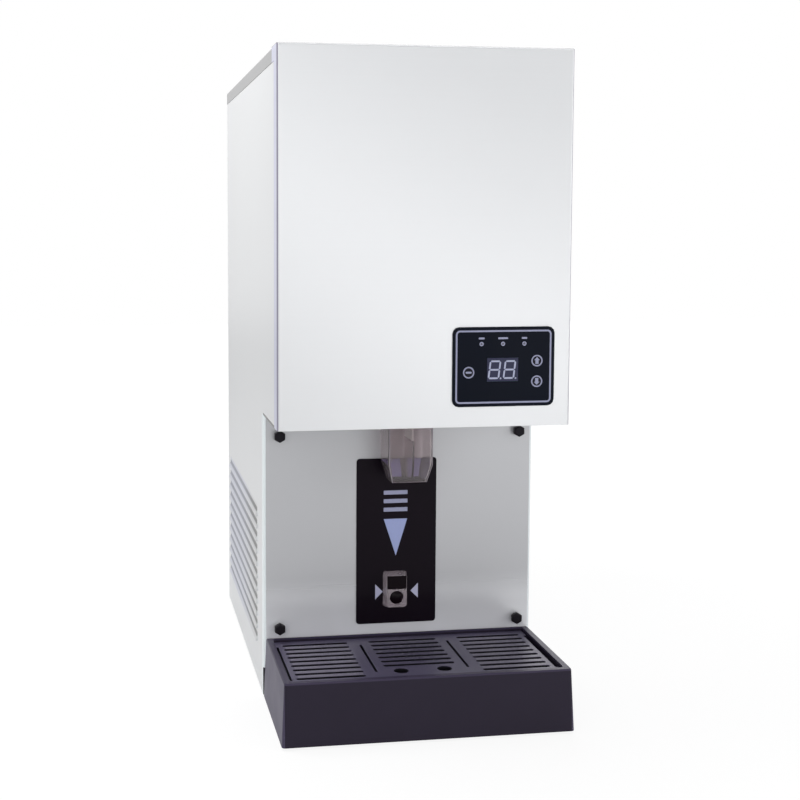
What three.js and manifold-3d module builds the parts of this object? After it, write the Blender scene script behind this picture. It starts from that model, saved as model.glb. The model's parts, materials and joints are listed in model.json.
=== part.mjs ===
// Countertop ice maker and dispenser, built as an assembly of its real pieces.
// Millimetres. X to the viewer's right, Y from the head's face to the back, Z up from the counter.
import * as THREE from 'three';
import { mergeVertices } from 'three/addons/utils/BufferGeometryUtils.js';
import Module from 'manifold-3d';

const wasm = await Module();
wasm.setup();

// Whole machine
const width = 350; // over the flat of the side panels
const headDepth = 600; // head's face to the back of the rear panel
const height = 805; // counter to the top cover
const headUnderside = 363; // counter to the bottom edge of the head's face
const recess = 136; // head's face to the splash panel's face

// Sheet metal and clearances
const sheet = 1.2;
const bend = 3; // outer radius of a fold that shows
const seat = 0.3; // gap between two faces that rest on each other
const running = 0.5; // clearance round what turns or slides
const overrun = 2; // how far a cutter passes what it cuts
const skirtClear = 2.5; // side panels and tray end this far above the counter

// Feet
const footHeight = 4;
const footRadius = 16;
const footChamfer = 1.2;
const footStudRadius = 3;
const footStudRise = 9;
const footInsetX = 34;
const footFrontInset = 41; // from the front of the shelf
const footRearInset = 36;

// Base pan: its narrow front part is the shelf inside the drip tray
const panSheet = 1.5;
const panWall = 34;
const shelfSide = 17; // the shelf is this much narrower on each side
const shelfClear = 4; // from the tray's front wall to the shelf

// Side panels
const frontFlange = 30; // width of the sheet folded in behind the splash panel
const rearFlange = 15;
const louvreCount = 11;
const louvrePitch = 16.7;
const louvreHeight = 9;
const louvreProud = 2.5;
const louvreBottom = 53;
const louvreFrontInset = 62.5; // from the flange's bend to the louvres
const louvreRearInset = 37; // from the back of the machine to the louvres

// Front panel of the head, top cover and rear panel
const returnDepth = 28.7; // the front panel's side return below the cover's lip
const topReturnDepth = 46.7; // and beside the lip
const lipHeight = 18;
const coverJoint = 0.8; // the dark line under the cover's lip
const upstandLap = 12; // how far the inner upstand laps the side sheet
const ventRows = 12;
const ventColumns = 2;
const ventLength = 58;
const ventWidth = 5;
const ventPitch = 11;
const ventBottom = 120;
const ventInset = 120; // from the right side to the middle of the vents
const ventGap = 12;

// Head floor and splash panel
const floorLap = 14; // how far the head floor runs on behind the splash panel
const floorFlange = 12;
const knobInset = 20; // from the side of the machine
const knobTopDrop = 27; // below the head's underside
const knobBottomRise = 13.5; // above the tray's rim
const knobAcross = 15.2; // over the corners of the hexagon
const knobThick = 8;
const knobChamfer = 1.4;
const knobCollarRadius = 5.4;
const knobCollar = 3;
const knobStudRadius = 3;
const knobStudReach = 14;
const knobSides = 6;

// Label plate and sensor block on the splash panel
const labelWidth = 104;
const labelX = -4;
const labelRise = 13; // above the tray's rim
const labelTopDrop = 59; // below the head's underside
const labelThick = 0.8;
const labelCorner = 4;
const sensorWidth = 31;
const sensorHeight = 46;
const sensorX = -6;
const sensorRise = 35; // above the tray's rim
const sensorDepth = 14;
const sensorTaper = 2.5;
const sensorCorner = 3;
const sensorBoreRadius = 9;
const sensorBoreDepth = 9;
const sensorBoreRise = 14.5;
const sensorWindowWidth = 21;
const sensorWindowHeight = 15;
const sensorWindowRise = 33;
const sensorWindowDepth = 3;

// Ice chute
const chuteWidth = 56;
const chuteRearClear = 11; // splash panel to the chute
const chuteDepth = 53;
const chuteWall = 2.5;
const chuteDrop = 80; // its mouth is this far below the head's underside
const chuteStraight = 57.5; // and it narrows from here down
const chuteEndWidth = 45;
const chuteEndDepth = 38;
const chuteCorner = 4;
const chuteFlange = 7;
const chuteFlangeThick = 3;
const dividerX = 3;
const dividerThick = 2.2;
const dividerTopDrop = 28; // below the head's underside
const dividerRise = 5; // its lower edge is this far above the chute's mouth

// Drip tray
const trayTop = 77;
const trayLead = 34; // its front edge is this far ahead of the head's face
const trayFlare = 3.3; // the skirt widens by this much towards its foot
const trayWall = 3;
const trayRim = 8;
const trayRearRim = 3;
const trayCorner = 4;
const trayRearCorner = 1;
const trayEdge = 1.6; // rounding of the rim
const trayLedge = 5;
const trayDrainRadius = 5;
const trayDrainInset = 18;

// Drip grille
const grilleSink = 4.5;
const grilleThick = 5;
const grilleGap = 0.9;
const grilleCorner = 3;
const grilleRelief = 3.5; // depth of the long notch in each side
const grilleReliefFront = 14;
const grilleReliefRear = 20;
const slotWidth = 7;
const slotRearInset = 15.6;
const slotFrontInset = 19;
const sideSlotRows = 9;
const middleSlotRows = 7;
const slotSideInset = 9; // from the grille's side to its slots
const fieldShare = 0.344; // half of the middle field, of half the grille
const middleLand = 10.5; // from the middle slots to the long slot
const sideLand = 13.5; // from the long slot to the side slots
const longSlotWidth = 3;
const longSlotRear = 25;
const longSlotFront = 30;
const fingerShare = 0.6; // how far out the finger holes are, of the middle slots' half
const fingerRadius = 9;
const fingerGap = 7.6; // from the last middle slot to the finger holes

// Control panel
const bezelWidth = 124;
const bezelHeight = 94;
const bezelInset = 20; // from the right side
const bezelRise = 71; // its centre above the head's underside
const bezelThick = 1;
const bezelCorner = 8;
const bezelLap = 8; // how far the bezel laps the opening behind it
const displayWidth = 38;
const displayHeight = 28;
const displayX = -1;
const displayZ = -3.5;
const displayThick = 3;
const keyRadius = 7;
const keyLength = 7;
const keyTravel = 1;
const keyRound = 0.4;
const setKeyX = -42.3;
const setKeyZ = -6.4;
const stepKeyX = 40.7;
const stepKeyZ = 6.5;
const stepKeyDrop = 24.4;
const lensRadius = 2.6;
const lensLength = 5;
const lensX = 26;
const lensZ = 27;
const postRadius = 3;
const postInset = 12;
const boardGap = 11; // bezel to board
const boardThick = 1.6;
const boardMargin = 9;
const moduleInset = 2;
const relayWidth = 16;
const relayHeight = 12;
const relayDepth = 14;
const relayCount = 3;
const relayPitch = 24;
const relayDrop = 18;

// Bin cradle, storage bin and lid
const binRise = 54; // above the head's underside
const binTopDrop = 115; // below the top of the machine
const binRadius = 138;
const binWall = 14;
const binOutletOffset = 76.5; // from the middle of the bin to its outlet
const binShaftHole = 9.5;
const binCorner = 12;
const outletWidth = 44;
const outletDepth = 38;
const cradleFlange = 25;
const cradleFrontClear = 3.7; // from the control board's relays
const cradleRearClear = 87; // from the cradle to the freezing cylinder
const lidThick = 10;
const lidPlug = 6;
const lidClear = 1;

// Agitator and its gear motor
const agitatorShaftRadius = 8;
const agitatorTopDrop = 60; // below the bin's rim
const agitatorArmRadius = 4.5;
const agitatorClear = 20; // from the arms to the bin's wall
const agitatorArmCount = 4;
const agitatorFirstArm = 48; // above the bin's floor
const agitatorArmTurn = 55; // degrees from one arm to the next
const sweeperHeight = 14;
const sweeperThick = 5;
const sweeperRise = 4;
const agitatorSocket = 20;
const agitatorBoxWidth = 76;
const agitatorBoxHeight = 40;
const agitatorBoxCorner = 8;
const agitatorMotorRadius = 19;
const agitatorMotorLength = 46;

// Chute neck, ice flap, solenoid and plunger
const neckWidth = 48;
const neckDepth = 42;
const neckWall = 3;
const tongueThick = 2;
const tongueRise = 6;
const flapPivotInset = 5.5; // from the neck's rear wall
const flapPivotDrop = 8; // below the neck's top
const flapPinRadius = 2.5;
const flapKnuckleRadius = 4.5;
const flapThick = 3;
const flapLift = 1; // plate above the pin's axis
const flapSideClear = 0.8;
const flapFrontClear = 1;
const leverOffset = 30; // from the neck's side
const leverThick = 3;
const leverPinDrop = 16; // the plunger's axis below the flap's pivot
const leverLean = 30; // degrees the lever leans forward at rest
const leverWidth = 12;
const leverSlotWidth = 5.2;
const leverSlotReach = 23;
const leverSlotStart = 14;
const leverReach = 27;
const plungerRadius = 4;
const plungerPinRadius = 1.5;
const plungerTongue = 10;
const plungerReach = 46;
const solenoidWidth = 24;
const solenoidClear = 1.5; // from the lever at the end of its swing
const solenoidLength = 40;
const solenoidDepth = 34;

// Middle deck and its openings
const deckClear = 31.2; // from the condenser's top to the deck's top
const deckFlange = 15;
const pipeHoleRadius = 9;

// Freezing unit
const unitX = -60;
const unitRearInset = 128; // from the back of the machine
const gearboxWidth = 92;
const gearboxHeight = 54;
const gearboxCorner = 10;
const unitMotorRadius = 33;
const unitMotorLength = 86;
const unitMotorRound = 8;
const augerShaftRadius = 9;
const augerSocket = 22;
const barrelBore = 26.5;
const barrelRadius = 33;
const barrelFlangeRadius = 46;
const barrelFlange = 9;
const jacketRadius = 50;
const jacketInset = 8;
const waterPortRadius = 6;
const waterPortBore = 3.5;
const waterPortRise = 30;
const waterPortReach = 14;
const augerCoreRadius = 15;
const augerTopClear = 37; // from the flight's end to the barrel's top
const augerTurns = 6;
const augerRootThick = 8;
const augerTipThick = 3.5;
const augerStepsPerTurn = 10;
const extruderHeight = 40;
const extruderRadius = 36;
const extruderFlange = 8;
const extruderHoles = 6;
const extruderHoleRadius = 6;
const extruderHolePcr = 19;
const spoutRadius = 32;
const spoutWall = 3;
const spoutFlange = 5;
const spoutRise = 104; // from the extruder head to the spout's middle line
const spoutBend = 46;
const spoutTopClear = 27.6; // from the top cover
const spoutDropOffset = 65; // behind the bin's middle

// Water reservoir, float and feed
const tankSideClear = 23.5; // from the right side panel
const tankWidth = 100;
const tankDepth = 110;
const tankTopDrop = 215; // below the top of the machine
const tankHeightShare = 0.428; // of the room from the deck to the tank's top
const tankWall = 3;
const tankCorner = 10;
const nippleRadius = 5;
const nippleBore = 3;
const nippleLength = 12;
const nippleInset = 12; // from the tank's left side
const inletDrop = 22; // inlet's axis below the tank's top
const inletRadius = 8;
const inletNutAcross = 26;
const inletNut = 10;
const fittingReach = 22; // how far the fittings stand out of the back
const inletBore = 4;
const inletValve = 28; // how far the valve reaches into the tank
const valveRadius = 7;
const valveLap = 4; // how far the valve's body goes past the float's pin
const floatPinRadius = 2;
const floatPinDrop = 9;
const floatArmLength = 50;
const floatArmThick = 3;
const floatArmHeight = 7;
const floatRadius = 15;
const floatLength = 38;
const hoseRadius = 7;
const hoseClear = 2; // from the gear motor

// Compressor, condenser and fan
const compressorSideClear = 20.5; // from its plate to the right side panel
const compressorRearInset = 115; // from the back of the machine
const compressorRadius = 62;
const compressorHeight = 168;
const compressorSeam = 3;
const compressorSeamRise = 92;
const compressorDome = 34;
const compressorPlateLength = 150;
const compressorPlateWidth = 96;
const compressorPlateThick = 3;
const grommetRadius = 11;
const grommetHeight = 13;
const grommetInset = 16;
const terminalWidth = 40;
const terminalHeight = 44;
const terminalDepth = 22;
const condenserThick = 28;
const condenserHeight = 226;
const condenserFrontClear = 61; // from the front flange
const condenserRearInset = 65; // from the back of the machine
const condenserGap = 6; // from the side panel's inner face
const condenserPlate = 2;
const finCount = 26;
const finDepth = 7;
const shroudThick = 1.5;
const shroudGap = 3;
const fanRadius = 88;
const fanTip = 3;
const fanRing = 26;
const fanHubRadius = 22;
const fanHubLength = 24;
const fanBlades = 6;
const fanBladeChord = 62;
const fanBladePitch = 30; // degrees
const fanBladeThick = 2;
const fanMotorRadius = 30;
const fanMotorLength = 44;
const fanShaftRadius = 3;
const fanShaftReach = 14;
const fanArmCount = 3;
const fanArmWidth = 10;
const fanArmThick = 2;

// Refrigerant pipes
const pipeRadius = 4;
const thinPipeRadius = 3;
const drierRadius = 12;
const drierLength = 90;
const drierCone = 12;

// Back fittings
const powerInset = 70; // from the left side
const powerZ = 66;
const powerWidth = 48;
const powerHeight = 28;
const powerFlange = 4;
const powerDepth = 24;
const powerBezel = 2.5;
const powerCavityWidth = 27;
const powerCavityHeight = 19;
const powerCavityDepth = 16;
const powerPinWidth = 6;
const powerPinThick = 2;
const powerPinPitch = 14;
const powerPinRise = 4;
const switchRise = 18; // the rocker's axis above the inlet's body
const switchHeight = 24;
const rockerWidth = 22;
const rockerHeight = 14;
const rockerProud = 3;
const rockerTilt = 8; // degrees
const rockerPivotInset = 6;
const rockerPinRadius = 2;
const drainInset = 55; // from the right side
const drainZ = 56;
const drainRadius = 9;
const drainBore = 6;
const drainNutAcross = 26;
const drainNut = 6;

// Fineness of round forms
const roundSides = 20;
const smallSides = 12;
const arcSteps = 3;
const pipeSides = 8;
const spoutSteps = 12;
const pipeSteps = 16;
const longPipeSteps = 26;

// Places worked out from the sizes above
const halfWidth = width / 2;
const sideInner = halfWidth - sheet;
const inside = sideInner - seat; // half the room between the side panels
const panelHalf = halfWidth - bend - seat; // half of a sheet that lies between two folds
const coverUnderside = height - sheet;
const lipBottom = height - lipHeight;
const sideTop = lipBottom - coverJoint;
const rearInner = headDepth - sheet;
const rearRoom = rearInner - seat - bend - seat; // furthest back that an inner sheet reaches
const frontFlangeY = recess + sheet + seat;
const insideFrontY = frontFlangeY + sheet + seat;
const panTop = footHeight + panWall;
const shelfHalf = halfWidth - shelfSide;
const shelfFront = trayWall + shelfClear - trayLead;
const floorBottom = headUnderside + seat;
const floorTop = floorBottom + sheet;
const knobX = halfWidth - knobInset;
const knobTopZ = headUnderside - knobTopDrop;
const knobBottomZ = trayTop + knobBottomRise;
const sensorBottom = trayTop + sensorRise;
const ventX = halfWidth - ventInset;
const bezelX = halfWidth - bezelInset - bezelWidth / 2;
const bezelZ = headUnderside + bezelRise;
const bezelFront = -seat - bezelThick;
const chuteFrontY = recess - chuteRearClear - chuteDepth;
const chuteY = chuteFrontY + chuteDepth / 2;
const chuteBottom = headUnderside - chuteDrop;
const chuteStraightBottom = headUnderside - chuteStraight;
const dividerTop = headUnderside - dividerTopDrop;
const binY = chuteY + binOutletOffset;
const binBottom = headUnderside + binRise;
const binTop = height - binTopDrop;
const cradleTop = binBottom - seat;
const cradleBottom = cradleTop - sheet;
const hangTop = cradleBottom - seat; // top of what hangs under the cradle
const binFloorTop = binBottom + binWall;
const lidBottom = binTop + seat;
const agitatorTop = binTop - agitatorTopDrop;
const agitatorArmLength = binRadius - binWall - agitatorClear;
const neckBottom = floorTop + seat;
const flapPivotY = chuteY + neckDepth / 2 - flapPivotInset;
const flapPivotZ = hangTop - flapPivotDrop;
const plungerZ = flapPivotZ - leverPinDrop;
const leverX = neckWidth / 2 + neckWall + leverOffset;
const lean = THREE.MathUtils.degToRad(leverLean);
const plungerX = leverX - leverThick / 2 - running - plungerRadius / 2;
const plungerPinY = flapPivotY - leverPinDrop * Math.tan(lean);
const leverSwing = (leverReach - leverWidth / 2) * Math.sin(lean) + leverWidth / 2;
const solenoidFront = flapPivotY + leverSwing + solenoidClear;
const panFloor = footHeight + panSheet;
const condenserX = inside - condenserGap;
const condenserFrontY = insideFrontY + condenserFrontClear;
const condenserRear = headDepth - condenserRearInset;
const condenserMidY = (condenserFrontY + condenserRear) / 2;
const condenserBottom = panFloor + seat;
const condenserTop = condenserBottom + condenserHeight;
const condenserMidZ = (condenserBottom + condenserTop) / 2;
const deckTop = condenserTop + deckClear;
const deckBottom = deckTop - sheet;
const gearboxBottom = deckTop + seat;
const gearboxTop = gearboxBottom + gearboxHeight;
const barrelBottom = gearboxTop + seat;
const spoutMidZ = coverUnderside - spoutTopClear - spoutRadius;
const spoutBottom = spoutMidZ - spoutRise;
const extruderTop = spoutBottom - seat;
const extruderBottom = extruderTop - extruderHeight;
const barrelTop = extruderBottom - seat;
const unitY = headDepth - unitRearInset;
const spoutDropY = binY + spoutDropOffset;
const tankRear = rearInner - seat;
const tankX = inside - tankSideClear - tankWidth / 2;
const tankTop = height - tankTopDrop;
const tankBottom = tankTop - (tankTop - deckTop) * tankHeightShare;
const nippleX = tankX - tankWidth / 2 + nippleInset;
const nippleY = unitY + unitMotorRadius + hoseClear + hoseRadius;
const inletZ = tankTop - inletDrop;
const floatPivotY = tankRear - inletValve;
const floatPivotZ = inletZ - floatPinDrop;
const compressorX = inside - compressorSideClear - compressorPlateLength / 2;
const compressorY = headDepth - compressorRearInset;
const shroudX = condenserX - condenserThick - shroudGap;
const frontmost = -trayLead - trayFlare;
const rearmost = headDepth + fittingReach;
const powerX = -halfWidth + powerInset;
const drainX = halfWidth - drainInset;

// Solids

function sealed(geometry) {
  const bare = new THREE.BufferGeometry();
  const loose = geometry.index ? geometry.toNonIndexed() : geometry;
  bare.setAttribute('position', loose.getAttribute('position'));
  const merged = mergeVertices(bare);
  const corners = merged.index.array;
  const kept = [];
  for (let i = 0; i < corners.length; i += 3) {
    const [a, b, c] = corners.slice(i, i + 3);
    if (a !== b && b !== c && c !== a) kept.push(a, b, c);
  }
  const vertProperties = merged.getAttribute('position').array;
  const solidOf = (triVerts) =>
    new wasm.Manifold(
      new wasm.Mesh({ numProp: 3, vertProperties, triVerts: new Uint32Array(triVerts) }),
    );
  const made = solidOf(kept);
  return made.volume() > 0 ? made : solidOf(kept.reverse());
}

function join(...solids) {
  return solids.flat().reduce((whole, next) => whole.add(next));
}

function cut(whole, ...tools) {
  return tools.flat().reduce((rest, tool) => rest.subtract(tool), whole);
}

function geometryOf(made) {
  const { vertProperties, triVerts } = made.getMesh();
  const geometry = new THREE.BufferGeometry();
  geometry.setAttribute('position', new THREE.BufferAttribute(vertProperties, 3));
  geometry.setIndex(new THREE.BufferAttribute(triVerts, 1));
  geometry.computeVertexNormals();
  return geometry;
}

// Outlines: corners are [u, v] or [u, v, radius]
function outline(corners) {
  const points = [];
  corners.forEach(([u, v, radius = 0], i) => {
    const corner = new THREE.Vector2(u, v);
    if (radius === 0) {
      points.push(corner);
      return;
    }
    const before = new THREE.Vector2(...corners.at(i - 1)).sub(corner).normalize();
    const after = new THREE.Vector2(...corners[(i + 1) % corners.length]).sub(corner).normalize();
    const half = Math.acos(before.dot(after)) / 2;
    const start = before.clone().multiplyScalar(radius / Math.tan(half)).add(corner);
    const end = after.clone().multiplyScalar(radius / Math.tan(half)).add(corner);
    const centre = before.add(after).normalize().multiplyScalar(radius / Math.sin(half)).add(corner);
    const from = start.sub(centre).angle();
    let sweep = end.sub(centre).angle() - from;
    if (sweep > Math.PI) sweep -= 2 * Math.PI;
    if (sweep < -Math.PI) sweep += 2 * Math.PI;
    for (let k = 0; k <= arcSteps; k++) {
      const angle = from + (sweep * k) / arcSteps;
      points.push(
        new THREE.Vector2(Math.cos(angle), Math.sin(angle)).multiplyScalar(radius).add(centre),
      );
    }
  });
  return points;
}

function rect(u0, u1, v0, v1, radius = 0) {
  return outline([
    [u0, v0, radius],
    [u1, v0, radius],
    [u1, v1, radius],
    [u0, v1, radius],
  ]);
}

function circle(u, v, radius, sides = roundSides) {
  return Array.from({ length: sides }, (_, i) => {
    const angle = (i / sides) * 2 * Math.PI;
    return new THREE.Vector2(u + radius * Math.cos(angle), v + radius * Math.sin(angle));
  });
}

function extruded(points, depth) {
  return new THREE.ExtrudeGeometry(new THREE.Shape(points), { depth, bevelEnabled: false });
}

const X = new THREE.Vector3(1, 0, 0);
const Y = new THREE.Vector3(0, 1, 0);
const Z = new THREE.Vector3(0, 0, 1);

// An outline drawn from above (x, y), from the front (x, z) or from the side (y, z)
function fromAbove(points, z0, z1, holes = []) {
  const whole = sealed(extruded(points, z1 - z0).translate(0, 0, z0));
  const tools = holes.map((hole) => fromAbove(hole, z0 - overrun, z1 + overrun));
  return cut(whole, tools);
}

function fromFront(points, y0, y1, holes = []) {
  const turn = new THREE.Matrix4().makeBasis(X, Z, Y.clone().negate());
  const whole = sealed(extruded(points, y1 - y0).applyMatrix4(turn).translate(0, y1, 0));
  const tools = holes.map((hole) => fromFront(hole, y0 - overrun, y1 + overrun));
  return cut(whole, tools);
}

function fromSide(points, x0, x1, holes = []) {
  const turn = new THREE.Matrix4().makeBasis(Y, Z, X);
  const whole = sealed(extruded(points, x1 - x0).applyMatrix4(turn).translate(x0, 0, 0));
  const tools = holes.map((hole) => fromSide(hole, x0 - overrun, x1 + overrun));
  return cut(whole, tools);
}

function block(x0, x1, y0, y1, z0, z1) {
  const geometry = new THREE.BoxGeometry(x1 - x0, y1 - y0, z1 - z0);
  return sealed(geometry.translate((x0 + x1) / 2, (y0 + y1) / 2, (z0 + z1) / 2));
}

// A profile of [radius, height] turned about a line through origin along direction
function turned(profile, origin, direction = Z, sides = roundSides) {
  const points = profile.map(([radius, rise]) => new THREE.Vector2(radius, rise));
  const geometry = new THREE.LatheGeometry(points, sides);
  const turn = new THREE.Quaternion().setFromUnitVectors(Y, direction);
  return sealed(geometry.applyQuaternion(turn).translate(...origin));
}

function rod(from, to, radius, sides = smallSides) {
  const a = new THREE.Vector3(...from);
  const b = new THREE.Vector3(...to);
  const length = a.distanceTo(b);
  const profile = [
    [0, 0],
    [radius, 0],
    [radius, length],
    [0, length],
  ];
  return turned(profile, from, b.sub(a).normalize(), sides);
}

function tube(places, radius, steps) {
  const path = new THREE.CatmullRomCurve3(places.map((place) => new THREE.Vector3(...place)));
  path.curveType = 'centripetal';
  const shape = new THREE.Shape(circle(0, 0, radius, pipeSides));
  return sealed(new THREE.ExtrudeGeometry(shape, { steps, extrudePath: path }));
}

// A closed skin over rings of equally many points, with a flat cap at each end
function loft(rings) {
  const count = rings[0].length;
  const points = rings.flat();
  const index = [];
  for (let r = 0; r + 1 < rings.length; r++) {
    for (let i = 0; i < count; i++) {
      const a = r * count + i;
      const b = r * count + ((i + 1) % count);
      index.push(a, b, b + count, a, b + count, a + count);
    }
  }
  const last = (rings.length - 1) * count;
  for (let i = 1; i + 1 < count; i++) {
    index.push(0, i + 1, i, last, last + i, last + i + 1);
  }
  const geometry = new THREE.BufferGeometry().setFromPoints(points);
  geometry.setIndex(index);
  return sealed(geometry);
}

function ringAt(points, z) {
  return points.map(({ x, y }) => new THREE.Vector3(x, y, z));
}

function hexagon(u, v, across) {
  return circle(u, v, across / 2, knobSides).map((point) =>
    point.rotateAround(new THREE.Vector2(u, v), Math.PI / 2),
  );
}

// The group that holds every piece, and the finishes
const iceMaker = new THREE.Group();

function finish(color, roughness, metalness = 0, opacity = 1) {
  return new THREE.MeshStandardMaterial({
    color,
    roughness,
    metalness,
    opacity,
    transparent: opacity < 1,
  });
}

const steel = finish(0xd9dadd, 0.38, 0.6);
const coatedSteel = finish(0xe4e5e8, 0.42, 0.3);
const satinSteel = finish(0xb0b3b6, 0.32, 0.8);
const innerSteel = finish(0xa9acb0, 0.5, 0.7);
const blackPlastic = finish(0x241f2c, 0.5);
const blackSteel = finish(0x1b1a1f, 0.5, 0.3);
const greyPlastic = finish(0x6f6b7c, 0.55);
const blackRubber = finish(0x161616, 0.85);
const glossBlack = finish(0x14141f, 0.2);
const clearPlastic = finish(0xa79ba6, 0.12, 0, 0.45);
const paleLens = finish(0xc9cbe6, 0.3);
const whitePlastic = finish(0xe8e8e6, 0.45);
const foamWhite = finish(0xdfe2e4, 0.7);
const motorGrey = finish(0x5b5f66, 0.5, 0.5);
const boardGreen = finish(0x1f5a38, 0.6);
const copper = finish(0xb87048, 0.35, 0.9);
const finAluminium = finish(0xc6c9cc, 0.4, 0.9);
const enamelBlack = finish(0x1a1b1d, 0.4, 0.3);
const stainless = finish(0xc4c7ca, 0.28, 0.95);

function piece(name, made, material) {
  const mesh = new THREE.Mesh(geometryOf(made), material);
  mesh.name = name;
  iceMaker.add(mesh);
  return mesh;
}

// Left and right of the middle, and the mirror image of a finished mesh
const bothSides = [-1, 1];

function mirrorImage(mesh, name) {
  const image = mesh.clone();
  image.name = name;
  image.scale.x = -1;
  iceMaker.add(image);
}

// Feet

const footX = shelfHalf - footInsetX;
const footFrontY = shelfFront + footFrontInset;
const footRearY = rearRoom - footRearInset;
const footPlaces = [
  ['foot_front_left', -footX, footFrontY],
  ['foot_front_right', footX, footFrontY],
  ['foot_rear_left', -footX, footRearY],
  ['foot_rear_right', footX, footRearY],
];

function foot(x, y) {
  const top = footHeight - seat;
  const profile = [
    [0, 0],
    [footRadius - footChamfer, 0],
    [footRadius, footChamfer],
    [footRadius, top - footChamfer],
    [footRadius - footChamfer, top],
    [footStudRadius, top],
    [footStudRadius, footHeight + footStudRise],
    [0, footHeight + footStudRise],
  ];
  return turned(profile, [x, y, 0], Z, smallSides);
}

// Base pan: one folded sheet with a wall all round, narrow in front where the tray slips over it

function basePanOutline(inset) {
  return outline([
    [-shelfHalf + inset, shelfFront + inset],
    [shelfHalf - inset, shelfFront + inset],
    [shelfHalf - inset, frontFlangeY + inset],
    [inside - inset, frontFlangeY + inset],
    [inside - inset, rearRoom - inset],
    [-inside + inset, rearRoom - inset],
    [-inside + inset, frontFlangeY + inset],
    [-shelfHalf + inset, frontFlangeY + inset],
  ]);
}

function basePan() {
  const studHoles = footPlaces.map(([, x, y]) => {
    const hole = circle(x, y, footStudRadius + seat, smallSides);
    return fromAbove(hole, footHeight - overrun, panFloor + overrun);
  });
  return cut(
    fromAbove(basePanOutline(0), footHeight, panTop),
    fromAbove(basePanOutline(panSheet), panFloor, panTop + overrun),
    studHoles,
  );
}

// Side panel: flat sheet, folded in at the front of its lower part and at the back,
// with an upstand inside the top cover's lip and a stack of pressed louvres

function foldedEdge(flangeY, toBack, lap, z0, z1) {
  const way = toBack ? 1 : -1;
  const inner = flangeY - way * sheet;
  const start = flangeY - way * (bend + lap);
  const corners = [
    [-halfWidth, start],
    [-halfWidth, flangeY, bend],
    [-halfWidth + (toBack ? rearFlange : frontFlange), flangeY],
    [-halfWidth + (toBack ? rearFlange : frontFlange), inner],
    [-sideInner, inner, bend - sheet],
    [-sideInner, start],
  ];
  return fromAbove(outline(corners), z0, z1);
}

const louvreFront = frontFlangeY + bend + louvreFrontInset;
const louvreRear = headDepth - louvreRearInset;

function louvre(z) {
  const foot = -halfWidth - louvreProud;
  const wedge = [
    [-halfWidth + sheet / 2, z + louvreHeight],
    [foot, z + sheet],
    [foot, z],
    [-halfWidth + sheet / 2, z],
  ];
  return fromFront(outline(wedge), louvreFront, louvreRear);
}

function louvreSlot(z) {
  const scoop = [
    [-sideInner + overrun, z + louvreHeight - sheet - seat],
    [-halfWidth, z + louvreHeight - sheet - seat],
    [-halfWidth - louvreProud + sheet, z + sheet],
    [-halfWidth - louvreProud + sheet, z - seat],
    [-sideInner + overrun, z - seat],
  ];
  return fromFront(outline(scoop), louvreFront + sheet, louvreRear - sheet);
}

function sidePanel() {
  const headFront = returnDepth + seat;
  const frontBend = frontFlangeY + bend;
  const rearFlangeY = rearInner - seat;
  const sideOutline = [
    [headFront, headUnderside],
    [headFront, sideTop],
    [rearFlangeY - bend, sideTop],
    [rearFlangeY - bend, skirtClear],
    [frontBend, skirtClear],
    [frontBend, headUnderside],
  ];
  const upstandInner = inside - sheet;
  const upstand = [
    [-halfWidth, sideTop - upstandLap],
    [-halfWidth, sideTop],
    [-inside, sideTop],
    [-inside, coverUnderside - bend],
    [-upstandInner, coverUnderside - bend],
    [-upstandInner, sideTop - upstandLap],
  ];
  const louvreHeights = Array.from(
    { length: louvreCount },
    (_, i) => louvreBottom + i * louvrePitch,
  );
  const studHoles = [knobBottomZ, knobTopZ].map((z) =>
    fromFront(
      circle(-knobX, z, knobStudRadius + seat, smallSides),
      recess,
      frontFlangeY + sheet + overrun,
    ),
  );
  return cut(
    join(
      fromSide(outline(sideOutline), -halfWidth, -sideInner),
      foldedEdge(frontFlangeY, false, bend, panTop + seat, headUnderside),
      foldedEdge(rearFlangeY, true, bend, skirtClear, sideTop),
      fromFront(outline(upstand), topReturnDepth + seat, rearRoom),
      louvreHeights.map(louvre),
    ),
    louvreHeights.map(louvreSlot),
    studHoles,
  );
}

// Front panel of the head: a shallow folded box, open below and behind

function frontPanel() {
  const shell = (inset, z0) => {
    const plan = outline([
      [-halfWidth + inset, topReturnDepth + inset],
      [-halfWidth + inset, inset, bend - inset],
      [halfWidth - inset, inset, bend - inset],
      [halfWidth - inset, topReturnDepth + inset],
    ]);
    const side = outline([
      [inset, z0],
      [topReturnDepth + inset, z0],
      [topReturnDepth + inset, height - inset],
      [inset, height - inset, bend - inset],
    ]);
    return fromAbove(plan, z0, height).intersect(fromSide(side, -width, width));
  };
  const opening = rect(
    bezelX - bezelWidth / 2 + bezelLap,
    bezelX + bezelWidth / 2 - bezelLap,
    bezelZ - bezelHeight / 2 + bezelLap,
    bezelZ + bezelHeight / 2 - bezelLap,
  );
  return cut(
    shell(0, headUnderside),
    shell(sheet, headUnderside - overrun),
    block(-width, width, returnDepth, topReturnDepth + overrun, 0, lipBottom),
    fromFront(opening, -overrun, sheet + overrun),
  );
}

// Top cover: a lip down each side and across the back

function topCover() {
  const section = (inset) =>
    outline([
      [-halfWidth + inset, lipBottom - inset],
      [halfWidth - inset, lipBottom - inset],
      [halfWidth - inset, height - inset, bend - inset],
      [-halfWidth + inset, height - inset, bend - inset],
    ]);
  const front = topReturnDepth + seat;
  return cut(
    fromFront(section(0), front, headDepth),
    fromFront(section(sheet), front - overrun, rearInner),
  );
}

// Rear panel: flat sheet with two fields of vent slots and the openings for the fittings

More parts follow.
